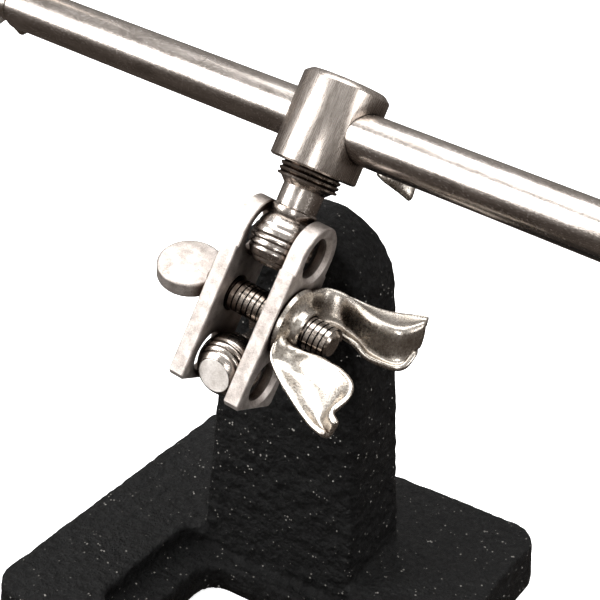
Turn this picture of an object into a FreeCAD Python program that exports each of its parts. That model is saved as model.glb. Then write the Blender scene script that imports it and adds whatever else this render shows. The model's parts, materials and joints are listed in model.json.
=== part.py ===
"""Bench third-hand stand: cast base with a column, a two-plate ball clamp, a tee head
that holds a cross bar, and a small ball clamp with a spring clip on each end of the bar.

Frame: millimetres, +Z up, origin at the centre of the base's underside, +X along the base's
width (and nearly along the cross bar), -Y to the front, where the clamp stands.
"""
import FreeCAD, Part
import math
import os
from FreeCAD import Placement, Rotation, Vector

X_AXIS = Vector(1, 0, 0)
Y_AXIS = Vector(0, 1, 0)
Z_AXIS = Vector(0, 0, 1)

doc = FreeCAD.newDocument("third_hand_stand")
sheet = doc.addObject("Spreadsheet::Sheet", "Sizes")

SIZES = {
    # casting: plate
    "base_width": 54.0,
    "base_depth": 52.0,
    "base_thickness": 7.0,
    "base_corner_radius": 4.0,
    "casting_draft": 3.0,
    "tray_width": 27.0,
    "tray_length": 20.0,
    "tray_depth": 3.0,
    "tray_corner_radius": 3.0,
    "window_width": 17.0,
    "window_length": 15.0,
    "window_setback": 2.3,
    # casting: column
    "column_width": 23.4,
    "column_thickness": 13.2,
    "column_height": 48.2,
    "column_setback": 6.4,
    "column_edge_radius": 1.2,
    # lower ball stud through the column
    "stud_height": 41.8,
    "stud_reach": 12.6,
    "stud_shank_diameter": 4.0,
    "stud_hole_clearance": 0.08,
    "shoulder_flats": 8.0,
    "shoulder_thickness": 3.0,
    "shoulder_gap": 0.3,
    "stud_nut_flats": 7.0,
    "stud_nut_thickness": 3.2,
    "stud_tail": 1.2,
    "washer_diameter": 9.0,
    "washer_thickness": 0.8,
    # main ball clamp
    "ball_diameter": 7.6,
    "ball_flat_diameter": 4.4,
    "ball_neck_diameter": 4.0,
    "ball_spacing": 15.6,
    "seat_hole_diameter": 5.0,
    "seat_clearance": 0.08,
    "plate_thickness": 2.0,
    "plate_ear_radius": 4.0,
    "plate_web_width": 8.7,
    "plate_web_setback": 2.0,
    "plate_foot": 3.3,
    "bolt_diameter": 4.0,
    "bolt_clearance": 0.15,
    "bolt_length": 10.8,
    "paddle_diameter": 8.0,
    "paddle_thickness": 2.2,
    "paddle_neck": 1.0,
    "wing_span": 18.6,
    "wing_height": 13.2,
    "wing_stagger": 0.8,
    "wing_hub_diameter": 6.6,
    "wing_hub_height": 3.6,
    "wing_sheet": 0.9,
    # stem and tee head
    "stem_diameter": 5.0,
    "stem_length": 14.3,
    "collar_diameter": 7.4,
    "collar_height": 1.8,
    "collar_bar_gap": 0.44,
    "collar_clearance": 0.06,
    "head_diameter": 10.5,
    "head_length": 10.8,
    "head_chamfer": 0.8,
    "head_ease": 0.3,
    "lock_screw_diameter": 3.5,
    "lock_screw_length": 8.5,
    "lock_wing_span": 14.4,
    "lock_wing_back": 1.2,
    "lock_wing_front": 3.4,
    "lock_wing_crotch": 0.6,
    "lock_hub_diameter": 5.4,
    "lock_hub_length": 3.2,
    # cross bar
    "bar_diameter": 6.0,
    "bar_length": 106.0,
    "bar_left_reach": 53.0,
    "bar_clearance": 0.06,
    "bar_chamfer": 0.5,
    "bar_socket_diameter": 3.0,
    "bar_socket_depth": 8.0,
    # small ball clamps at the ends
    "end_ball_diameter": 6.0,
    "end_ball_flat_diameter": 3.2,
    "end_neck_diameter": 3.0,
    "end_ball_reach": 7.0,
    "end_ball_spacing": 12.6,
    "end_seat_hole_diameter": 4.0,
    "end_plate_thickness": 1.6,
    "end_plate_ear_radius": 3.3,
    "end_plate_web_width": 7.2,
    "end_plate_web_setback": 1.8,
    "end_plate_foot": 2.8,
    "end_bolt_diameter": 3.0,
    "end_bolt_length": 8.6,
    "end_paddle_diameter": 6.0,
    "end_paddle_thickness": 1.8,
    "end_paddle_neck": 1.0,
    "paddle_collar": 0.6,
    "end_wing_span": 15.0,
    "end_wing_height": 9.2,
    "end_wing_stagger": 0.6,
    "end_wing_hub_diameter": 5.4,
    "end_wing_hub_height": 2.8,
    "end_wing_sheet": 0.7,
    # spring clips
    "clip_barrel_diameter": 5.0,
    "clip_barrel_start": 5.4,
    "clip_barrel_length": 7.0,
    "clip_stud_length": 11.0,
    "clip_length": 42.0,
    "clip_pivot_reach": 19.0,
    "clip_width": 7.4,
    "clip_nose_width": 3.4,
    "clip_depth": 4.2,
    "clip_wall": 0.7,
    "clip_side_clearance": 0.25,
    "clip_mouth_gap": 0.3,
    "clip_tooth_pitch": 1.6,
    "clip_tooth_depth": 0.9,
    "clip_tab_rise": 8.6,
    "pin_diameter": 1.8,
    "pin_clearance": 0.06,
    "spring_coil_diameter": 4.2,
    "spring_wire": 0.8,
    # rest attitude of the joints, in degrees
    "rest_swing": 9.5,
    "rest_clamp_lean": 25.0,
    "rest_stem_swing": 5.5,
    "rest_stem_lean": 31.5,
    "rest_head_turn": -8.0,
    "rest_wing_turn": -48.0,
    "rest_paddle_turn": 36.0,
    "rest_lock_turn": -64.0,
    "rest_end_paddle_turn": 20.0,
    "rest_end_wing_turn": 25.0,
    "rest_end_lean": 50.0,
    "rest_clip_lean": 15.0,
}
for row, (alias, value) in enumerate(SIZES.items(), start=1):
    sheet.set("A%d" % row, alias)
    sheet.set("B%d" % row, str(value))
    sheet.setAlias("B%d" % row, alias)
doc.recompute()


def size(alias):
    """A driving dimension, read back from the sheet."""
    return float(getattr(sheet, alias))


# ---------------------------------------------------------------- building blocks

def primitive(kind, sizes, place=None):
    """A Part primitive whose sizes are bound to the sheet: property -> expression."""
    solid = doc.addObject("Part::" + kind, kind)
    for prop, expression in sizes.items():
        solid.setExpression(prop, expression)
    if place is not None:
        solid.Placement = place
    return solid


def at(x=0.0, y=0.0, z=0.0, axis=Z_AXIS, angle=0.0):
    """A placement from an offset and a turn."""
    return Placement(Vector(x, y, z), Rotation(axis, angle))


def along_x(x=0.0, y=0.0, z=0.0):
    return at(x, y, z, Y_AXIS, 90)


def along_y(x=0.0, y=0.0, z=0.0):
    return at(x, y, z, X_AXIS, -90)


def fuse(parts, name="Fuse"):
    joined = doc.addObject("Part::MultiFuse", name)
    joined.Shapes = parts
    return joined


def common(parts, name="Common"):
    shared = doc.addObject("Part::MultiCommon", name)
    shared.Shapes = parts
    return shared


def cut(body, tools, name="Cut"):
    """Take the tools out of the body."""
    result = doc.addObject("Part::Cut", name)
    result.Base = body
    result.Tool = tools[0] if len(tools) == 1 else fuse(tools)
    return result


def cylinder(radius, height, place=None):
    return primitive("Cylinder", {"Radius": radius, "Height": height}, place)


def centred_box(length, width, height, x=0.0, y=0.0, z=0.0):
    """A box centred on x and y that stands on z; sizes are expressions."""
    box = primitive("Box", {"Length": length, "Width": width, "Height": height})
    box.setExpression("Placement.Base.x", "%s - (%s) / 2" % (x, length))
    box.setExpression("Placement.Base.y", "%s - (%s) / 2" % (y, width))
    box.setExpression("Placement.Base.z", str(z))
    return box


def fillet(body, radius, wanted):
    """Round the edges of the body that the test picks."""
    doc.recompute()
    rounded = doc.addObject("Part::Fillet", "Fillet")
    rounded.Base = body
    picked = []
    for number, edge in enumerate(body.Shape.Edges, start=1):
        if wanted(edge):
            picked.append((number, radius, radius))
    rounded.Edges = picked
    return rounded


def extrusion(face_edges, direction, length, name):
    """A prism: a closed outline of edges, pushed along a direction."""
    outline = doc.addObject("Part::Feature", name + "_outline")
    outline.Shape = Part.Face(Part.Wire(face_edges))
    prism = doc.addObject("Part::Extrusion", name)
    prism.Base = outline
    prism.DirMode = "Custom"
    prism.Dir = direction
    prism.LengthFwd = length
    prism.Solid = True
    return prism


def polygon_edges(points):
    """Straight edges round a closed list of points."""
    edges = []
    for start, end in zip(points, points[1:] + points[:1]):
        edges.append(Part.LineSegment(start, end).toShape())
    return edges


nodes = {}


def finish_node(solid, label, frame=None):
    """Name a sub-part and put it where it belongs in the assembly."""
    solid.Label = label
    if frame is not None:
        solid.Placement = frame.multiply(solid.Placement)
    nodes[label] = solid
    return solid


# ---------------------------------------------------------------- where things are

draft = math.radians(size("casting_draft"))
column_foot_front = size("column_setback") - size("column_thickness") / 2
column_foot_back = size("column_setback") + size("column_thickness") / 2
stud_rise = size("stud_height") - size("base_thickness")
column_front = column_foot_front + stud_rise * math.tan(draft)
column_back = column_foot_back - stud_rise * math.tan(draft)

lower_ball = Vector(0, column_front - size("stud_reach"), size("stud_height"))
swing = Rotation(Y_AXIS, size("rest_swing"))
clamp_turn = swing.multiply(Rotation(X_AXIS, -size("rest_clamp_lean")))
clamp_frame = Placement(lower_ball, clamp_turn)
stud_frame = Placement(lower_ball, swing)

upper_ball = clamp_frame.multVec(Vector(0, 0, size("ball_spacing")))
stem_swing = Rotation(Y_AXIS, size("rest_stem_swing"))
stem_turn = stem_swing.multiply(Rotation(X_AXIS, -size("rest_stem_lean")))
stem_frame = Placement(upper_ball, stem_turn)
head_centre = stem_frame.multVec(Vector(0, 0, size("stem_length")))
head_turn = stem_frame.Rotation.multiply(Rotation(Z_AXIS, size("rest_head_turn")))
head_frame = Placement(head_centre, head_turn)


def end_frame(side):
    """Frame of the ball on one end of the bar: +X points outwards along the bar."""
    if side == "left":
        reach = -size("bar_left_reach")
        facing = Rotation(Z_AXIS, 180)
    else:
        reach = size("bar_length") - size("bar_left_reach")
        facing = Rotation()
    outwards = math.copysign(size("end_ball_reach"), reach)
    local = Placement(Vector(reach + outwards, 0, 0), facing)
    return head_frame.multiply(local)


def end_clamp_frame(side):
    """Frame of an end clamp: +Z from the bar's ball to the clip's ball, +X along its bolt."""
    lean = Placement(Vector(), Rotation(Y_AXIS, size("rest_end_lean")))
    bolt_along_x = Placement(Vector(), Rotation(Z_AXIS, -90))
    return end_frame(side).multiply(lean).multiply(bolt_along_x)


def clip_frame(side):
    """Frame of a clip: +Z from its ball to its nose, +X along its pivot pin."""
    ball = end_clamp_frame(side).multVec(Vector(0, 0, size("end_ball_spacing")))
    lean = Placement(Vector(), Rotation(Y_AXIS, size("rest_clip_lean")))
    pin_along_x = Placement(Vector(), Rotation(Z_AXIS, -90))
    turned = end_frame(side).multiply(lean).multiply(pin_along_x)
    return Placement(ball, turned.Rotation)


# ---------------------------------------------------------------- base casting

def tapered_block(foot_x, foot_y, top_x, top_y, height, y=0.0, z=0.0):
    """A block on z that narrows upwards, centred on x and y; sizes are expressions."""
    block = primitive("Wedge", {
        "Xmin": "-(%s) / 2" % foot_x, "Xmax": "(%s) / 2" % foot_x,
        "Zmin": "-(%s) / 2" % foot_y, "Zmax": "(%s) / 2" % foot_y,
        "X2min": "-(%s) / 2" % top_x, "X2max": "(%s) / 2" % top_x,
        "Z2min": "-(%s) / 2" % top_y, "Z2max": "(%s) / 2" % top_y,
        "Ymin": "0", "Ymax": height,
    })
    block.Placement = at(0, y, z, X_AXIS, 90)
    return block


def rounded_block(length, width, height, radius, y, z):
    """A box with rounded upright corners, used as a cutter."""
    box = centred_box(length, width, height, 0.0, y, z)
    return fillet(box, radius, lambda edge: is_upright(edge, 0.1))


def is_upright(edge, slack):
    """True for a straight edge that runs up and down within the slack."""
    if not isinstance(edge.Curve, Part.Line):
        return False
    run = edge.Vertexes[-1].Point - edge.Vertexes[0].Point
    return abs(run.z) > 1 and math.hypot(run.x, run.y) < slack * abs(run.z)


def build_base_casting():
    """Iron casting: drafted plate with a sunk tray and a window, and a round-topped column."""
    lean = "Sizes.base_thickness * tan(Sizes.casting_draft * 1 deg)"
    plate = tapered_block("Sizes.base_width", "Sizes.base_depth",
                          "(Sizes.base_width - 2 * %s)" % lean,
                          "(Sizes.base_depth - 2 * %s)" % lean,
                          "Sizes.base_thickness")
    plate = fillet(plate, size("base_corner_radius"), lambda edge: is_upright(edge, 0.3))

    height = size("column_height")
    sink = size("tray_depth")
    slope = math.tan(draft)
    half_foot = size("column_width") / 2
    arch_radius = (half_foot - height * slope) / (
        math.cos(draft) - slope + math.sin(draft) * slope)
    shoulder_z = size("stud_height") - stud_rise + height - arch_radius * (1 - math.sin(draft))
    shoulder_x = arch_radius * math.cos(draft)
    foot_z = size("base_thickness") - sink
    foot_x = half_foot + sink * slope
    left_foot = Vector(-foot_x, 0, foot_z)
    right_foot = Vector(foot_x, 0, foot_z)
    left_shoulder = Vector(-shoulder_x, 0, shoulder_z)
    right_shoulder = Vector(shoulder_x, 0, shoulder_z)
    crown = Vector(0, 0, size("base_thickness") + height)
    edges = [
        Part.LineSegment(left_foot, right_foot).toShape(),
        Part.LineSegment(right_foot, right_shoulder).toShape(),
        Part.Arc(right_shoulder, crown, left_shoulder).toShape(),
        Part.LineSegment(left_shoulder, left_foot).toShape(),
    ]
    sides = extrusion(edges, Y_AXIS, size("column_thickness") + 2, "column_front_view")
    sides.Placement = at(0, column_foot_front - 1, 0)
    rise = "(Sizes.column_height + Sizes.tray_depth + 1)"
    slope_text = "tan(Sizes.casting_draft * 1 deg)"
    thick = "(Sizes.column_thickness + 2 * Sizes.tray_depth * %s)" % slope_text
    thin = "(Sizes.column_thickness - 2 * (Sizes.column_height + 1) * %s)" % slope_text
    wide = "(Sizes.column_width + 2)"
    depth = tapered_block(wide, thick, wide, thin, rise, size("column_setback"), foot_z)
    column = common([sides, depth])
    column = fillet(column, size("column_edge_radius"),
                    lambda edge: edge.BoundBox.ZMax > foot_z + 1
                    and edge.BoundBox.XLength + edge.BoundBox.ZLength > 1)
    blank = fuse([plate, column])

    tray_y = column_foot_front - size("tray_length") / 2
    tray = rounded_block("Sizes.tray_width", "Sizes.tray_length", "Sizes.tray_depth + 1",
                         size("tray_corner_radius"), tray_y,
                         "Sizes.base_thickness - Sizes.tray_depth")
    window_y = column_foot_front - size("window_setback") - size("window_length") / 2
    window = rounded_block("Sizes.window_width", "Sizes.window_length",
                           "Sizes.base_thickness + 2", size("tray_corner_radius"),
                           window_y, "-1")
    stud_hole = cylinder("Sizes.stud_shank_diameter / 2 + Sizes.stud_hole_clearance",
                         "Sizes.column_thickness * 3",
                         along_y(0, column_foot_front - size("column_thickness"),
                                 size("stud_height")))
    return finish_node(cut(blank, [tray, window, stud_hole]), "base_casting")


# ---------------------------------------------------------------- turned balls

def ball(diameter, flat_diameter, towards):
    """A ball with a flat turned on its free end; 'towards' is the flat's direction."""
    sphere = primitive("Sphere", {"Radius": "%s / 2" % diameter})
    reach = "sqrt((%s / 2)^2 - (%s / 2)^2)" % (diameter, flat_diameter)
    keep = cylinder(diameter, "%s + %s" % (reach, diameter))
    doc.recompute()
    back = towards * -float(keep.Radius)
    keep.Placement = Placement(back, Rotation(Z_AXIS, towards))
    return common([sphere, keep])


def hexagon(flats, height, place):
    """A hexagonal prism, sized across its flats."""
    prism = primitive("Prism", {"Circumradius": "%s / 2 / cos(30 deg)" % flats,
                                "Height": height}, place)
    prism.Polygon = 6
    return prism


def build_lower_stud():
    """Turned stud: flatted ball, neck, hexagonal shoulder and a shank through the column."""
    reach = size("stud_reach")
    gap = size("shoulder_gap")
    thickness = column_back - column_front
    head = ball("Sizes.ball_diameter", "Sizes.ball_flat_diameter", Vector(0, -1, 0))
    neck = cylinder("Sizes.ball_neck_diameter / 2", "Sizes.stud_reach", along_y())
    shoulder = hexagon("Sizes.shoulder_flats", "Sizes.shoulder_thickness",
                       along_y(0, reach - size("shoulder_thickness") - gap, 0))
    tail = (thickness + gap + size("washer_thickness") + size("stud_nut_thickness")
            + size("stud_tail"))
    shank = cylinder("Sizes.stud_shank_diameter / 2", str(reach + tail), along_y())
    stud = finish_node(fuse([head, neck, shoulder, shank]), "lower_ball_stud", stud_frame)

    bore = "Sizes.stud_shank_diameter / 2"
    washer_y = reach + thickness + gap
    washer = cut(cylinder("Sizes.washer_diameter / 2", "Sizes.washer_thickness",
                          along_y(0, washer_y, 0)),
                 [cylinder(bore, "10", along_y(0, washer_y - 2, 0))])
    finish_node(washer, "stud_washer", stud_frame)
    nut_y = washer_y + size("washer_thickness")
    nut = cut(hexagon("Sizes.stud_nut_flats", "Sizes.stud_nut_thickness",
                      along_y(0, nut_y, 0)),
              [cylinder(bore, "10", along_y(0, nut_y - 2, 0))])
    finish_node(nut, "stud_nut", stud_frame)
    return stud


# ---------------------------------------------------------------- two-plate ball clamps

def plate_gap(ball_size, hole_size):
    """Half the gap between two plates whose hole rims hold the ball."""
    ball_radius = size(ball_size) / 2
    hole_radius = size(hole_size) / 2
    return math.sqrt(ball_radius ** 2 - hole_radius ** 2) + size("seat_clearance")


def build_plate(label, frame, prefix, ball_size, hole_size, spacing, bolt_size, side):
    """One clamp plate: a round ear above square shoulders, over a wider square-footed web."""
    half_gap = plate_gap(ball_size, hole_size)
    start = half_gap if side > 0 else -half_gap - size(prefix + "thickness")
    thickness = "Sizes.%sthickness" % prefix
    lift = size(spacing)
    shoulder = lift - size(prefix + "web_setback")
    ear_radius = size(prefix + "ear_radius")
    ear = cylinder("Sizes.%sear_radius" % prefix, thickness, along_x(start, 0, lift))
    neck = primitive("Box", {
        "Length": thickness, "Width": "2 * Sizes.%sear_radius" % prefix,
        "Height": "Sizes.%sweb_setback" % prefix})
    neck.Placement = at(start, -ear_radius, shoulder)
    web = primitive("Box", {
        "Length": thickness, "Width": "Sizes.%sweb_width" % prefix,
        "Height": "Sizes.%s - Sizes.%sweb_setback + Sizes.%sfoot" % (spacing, prefix, prefix)})
    web.Placement = at(start, -size(prefix + "web_width") / 2, -size(prefix + "foot"))
    holes = []
    for z in (0.0, lift):
        holes.append(cylinder("Sizes.%s / 2" % hole_size, thickness + " + 2",
                              along_x(start - 1, 0, z)))
    holes.append(cylinder("Sizes.%s / 2 + Sizes.bolt_clearance" % bolt_size,
                          thickness + " + 2", along_x(start - 1, 0, lift / 2)))
    return finish_node(cut(fuse([ear, neck, web]), holes), label, frame)


def build_bolt(label, frame, outer, spacing, prefix, turn):
    """Clamp bolt: a round flat paddle to hold, and a threaded shank across the clamp."""
    middle = size(spacing) / 2
    paddle_radius = size(prefix + "paddle_diameter") / 2
    half = size(prefix + "paddle_thickness") / 2
    sit = math.sqrt(paddle_radius ** 2 - (size(prefix + "bolt_diameter") / 2) ** 2)
    seat = outer + size("seat_clearance")
    centre = -seat - size(prefix + "paddle_neck") - sit
    paddle = cylinder("Sizes.%spaddle_diameter / 2" % prefix,
                      "Sizes.%spaddle_thickness" % prefix)
    paddle.Placement = Placement(Vector(centre, 0, 0), Rotation(X_AXIS, turn)).multiply(
        at(0, 0, -half))
    collar = cylinder("Sizes.%sbolt_diameter / 2 + Sizes.paddle_collar" % prefix,
                      "Sizes.%spaddle_neck" % prefix,
                      along_x(-seat - size(prefix + "paddle_neck"), 0, 0))
    reach = "%f + Sizes.%sbolt_length" % (-centre, prefix)
    shank = cylinder("Sizes.%sbolt_diameter / 2" % prefix, reach, along_x(centre, 0, 0))
    bolt = fuse([paddle, collar, shank])
    bolt.Placement = at(0, 0, middle)
    return finish_node(bolt, label, frame)


# Up a wing's outer edge and back along its top, as shares of the height and of the reach.
WING_OUTLINE = ((0.15, 0.66), (0.5, 0.8), (0.9, 1.0), (1.0, 0.85), (1.0, 0.4))
WING_NOTCH_SHARE = 0.75


def build_wing_nut(label, frame, bore, prefix):
    """Pressed wing nut along +X: a flanged threaded hub with two upright blades."""
    reach = size(prefix + "span") / 2
    tall = size(prefix + "height")
    gauge = size(prefix + "sheet")
    foot = size(prefix + "hub_diameter") / 2
    inner = foot - gauge
    blades = []
    for side in (1, -1):
        leaf = [Vector(0, 0, side * inner), Vector(0, 0, side * (foot + gauge))]
        for height_share, reach_share in WING_OUTLINE:
            leaf.append(Vector(tall * height_share, 0, side * reach * reach_share))
        leaf.append(Vector(tall * WING_NOTCH_SHARE, 0, side * inner))
        blade = extrusion(polygon_edges(leaf), Y_AXIS, gauge, "wing_blade")
        blade.Placement = at(0, -gauge / 2 + side * size(prefix + "stagger"), 0)
        blades.append(blade)
    hub = "Sizes.%shub_diameter" % prefix
    collar = cylinder(hub + " / 2", "Sizes.%shub_height" % prefix, along_x())
    flange = cylinder(hub + " / 2 + Sizes.%ssheet" % prefix, "Sizes.%ssheet" % prefix, along_x())
    hole = cylinder("Sizes.%s / 2 + Sizes.seat_clearance" % bore, str(tall * 3),
                    along_x(-1, 0, 0))
    return finish_node(cut(fuse([collar, flange] + blades), [hole]), label, frame)


def build_clamp(names, frame, prefix, ball_size, hole_size, spacing, paddle_turn, wing_turn):
    """The pair of plates, their bolt and their wing nut."""
    plate_prefix = prefix + "plate_"
    for side, label in ((-1, names["left"]), (1, names["right"])):
        build_plate(label, frame, plate_prefix, ball_size, hole_size, spacing,
                    prefix + "bolt_diameter", side)
    outer = plate_gap(ball_size, hole_size) + size(plate_prefix + "thickness")
    build_bolt(names["bolt"], frame, outer, spacing, prefix, paddle_turn)
    seat = Vector(outer + size("seat_clearance"), 0, size(spacing) / 2)
    nut_frame = frame.multiply(Placement(seat, Rotation(X_AXIS, wing_turn)))
    build_wing_nut(names["nut"], nut_frame, prefix + "bolt_diameter", prefix + "wing_")


# ---------------------------------------------------------------- stem, head and lock screw

SOCKET_DEPTH = ("(Sizes.head_length / 2 - Sizes.bar_diameter / 2 - Sizes.bar_clearance"
                " - Sizes.collar_bar_gap)")


def build_stem():
    """Turned stem: flatted ball, round stem and a threaded collar that enters the head."""
    knob = ball("Sizes.ball_diameter", "Sizes.ball_flat_diameter", Vector(0, 0, -1))
    head_under = size("stem_length") - size("head_length") / 2
    rod = cylinder("Sizes.stem_diameter / 2", str(head_under))
    collar = cylinder("Sizes.collar_diameter / 2",
                      "Sizes.collar_height + " + SOCKET_DEPTH,
                      at(0, 0, head_under - size("collar_height")))
    return finish_node(fuse([knob, rod, collar]), "upper_ball_stem", stem_frame)


def build_head():
    """Tee head: a barrel with the bar's cross hole, a socket below and a screw hole behind."""
    half = size("head_length") / 2
    blank = cylinder("Sizes.head_diameter / 2", "Sizes.head_length", at(0, 0, -half))
    doc.recompute()
    barrel = doc.addObject("Part::Chamfer", "Chamfer")
    barrel.Base = blank
    rims = []
    for number, edge in enumerate(blank.Shape.Edges, start=1):
        if isinstance(edge.Curve, Part.Circle):
            depth = size("head_chamfer") if edge.BoundBox.ZMax > 0 else size("head_ease")
            rims.append((number, depth, depth))
    barrel.Edges = rims
    cross_hole = cylinder("Sizes.bar_diameter / 2 + Sizes.bar_clearance",
                          "Sizes.head_diameter * 2", along_x(-size("head_diameter"), 0, 0))
    socket = cylinder("Sizes.collar_diameter / 2 + Sizes.collar_clearance",
                      SOCKET_DEPTH + " + Sizes.collar_clearance + 1",
                      at(0, 0, -half - 1))
    screw_hole = cylinder("Sizes.lock_screw_diameter / 2 + Sizes.seat_clearance",
                          "Sizes.head_diameter", along_y())
    return finish_node(cut(barrel, [cross_hole, socket, screw_hole]), "tee_head", head_frame)


def build_lock_screw():
    """Wing screw behind the head: a shank that presses on the bar, and a pressed wing."""
    tip = size("bar_diameter") / 2 + size("seat_clearance")
    shank = cylinder("Sizes.lock_screw_diameter / 2", "Sizes.lock_screw_length")
    shank.Placement = along_x()
    reach = size("lock_wing_span") / 2
    gauge = size("wing_sheet")
    root = size("lock_screw_length")
    hub_back = root - size("lock_hub_length")
    hub_radius = size("lock_hub_diameter") / 2
    wing_back = root - size("lock_wing_back")
    wing_front = root + size("lock_wing_front")
    crotch = root + size("lock_wing_crotch")
    leaf = [
        Vector(hub_back, -gauge, -hub_radius), Vector(hub_back, -gauge, hub_radius),
        Vector(wing_back, -gauge, reach), Vector(wing_front, -gauge, reach),
        Vector(crotch, -gauge, hub_radius), Vector(crotch, -gauge, -hub_radius),
        Vector(wing_front, -gauge, -reach), Vector(wing_back, -gauge, -reach),
    ]
    wing = extrusion(polygon_edges(leaf), Y_AXIS, gauge * 2, "lock_wing")
    hub = cylinder("Sizes.lock_hub_diameter / 2", "Sizes.lock_hub_length",
                   along_x(hub_back, 0, 0))
    screw = fuse([shank, wing, hub])
    turned = Rotation(Z_AXIS, 90).multiply(Rotation(X_AXIS, size("rest_lock_turn")))
    local = Placement(Vector(0, tip, 0), turned)
    return finish_node(screw, "bar_lock_screw", head_frame.multiply(local))


# ---------------------------------------------------------------- cross bar and its ends

def build_bar():
    """Plain round bar, chamfered, with a blind socket in each end for a ball end."""
    left = -size("bar_left_reach")
    right = size("bar_length") - size("bar_left_reach")
    rod = cylinder("Sizes.bar_diameter / 2", "Sizes.bar_length", along_x(left, 0, 0))
    doc.recompute()
    eased = doc.addObject("Part::Chamfer", "Chamfer")
    eased.Base = rod
    rims = []
    for number, edge in enumerate(rod.Shape.Edges, start=1):
        if isinstance(edge.Curve, Part.Circle):
            rims.append((number, size("bar_chamfer"), size("bar_chamfer")))
    eased.Edges = rims
    sockets = []
    for start in (left - 1, right - size("bar_socket_depth")):
        sockets.append(cylinder("Sizes.bar_socket_diameter / 2 + Sizes.bar_clearance",
                                "Sizes.bar_socket_depth + 1", along_x(start, 0, 0)))
    return finish_node(cut(eased, sockets), "cross_bar", head_frame)


def build_end_ball(side):
    """Ball end: a flatted ball on a neck, with a spigot that turns in the bar's socket."""
    knob = ball("Sizes.end_ball_diameter", "Sizes.end_ball_flat_diameter", X_AXIS)
    reach = size("end_ball_reach") + size("bar_socket_depth") - 0.5
    neck = cylinder("Sizes.end_neck_diameter / 2", str(reach), along_x(-reach, 0, 0))
    flange = cylinder("Sizes.end_neck_diameter / 2 + 1", "1.2",
                      along_x(-size("end_ball_reach") + 0.1, 0, 0))
    return finish_node(fuse([knob, neck, flange]), "bar_ball_" + side, end_frame(side))


# ---------------------------------------------------------------- spring clips

def channel(outline, half_width, wall, floor_side, name):
    """A folded channel: the side outline made solid, hollowed but for its two cheeks."""
    body = extrusion(polygon_edges(outline), X_AXIS, 2 * half_width, name)
    body.Placement = at(-half_width, 0, 0)
    hollow = extrusion(polygon_edges([p + Vector(0, floor_side * wall, 0) for p in outline]),
                       X_AXIS, 2 * (half_width - wall), name + "_hollow")
    hollow.Placement = at(-half_width + wall, 0, 0)
    return cut(body, [hollow])


def nose_taper(half_rear, half_nose, start, end, depth):
    """Seen from above, the clip narrows from its pivot to its nose."""
    outline = [
        Vector(-half_rear, -depth, -2), Vector(half_rear, -depth, -2),
        Vector(half_rear, -depth, start), Vector(half_nose, -depth, end),
        Vector(-half_nose, -depth, end), Vector(-half_rear, -depth, start),
    ]
    return extrusion(polygon_edges(outline), Y_AXIS, 2 * depth, "clip_plan")


def teeth(side, start, end):
    """Points of the toothed mouth edge, from the pivot side to the nose."""
    pitch = size("clip_tooth_pitch")
    count = int((end - start) / pitch)
    base = side * size("clip_mouth_gap") / 2
    points = []
    for number in range(count):
        z = end - (count - number) * pitch
        points.append(Vector(0, base + side * size("clip_tooth_depth"), z))
        points.append(Vector(0, base, z + pitch / 2))
    points.append(Vector(0, base + side * size("clip_tooth_depth") * 0.5, end))
    return points


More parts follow.
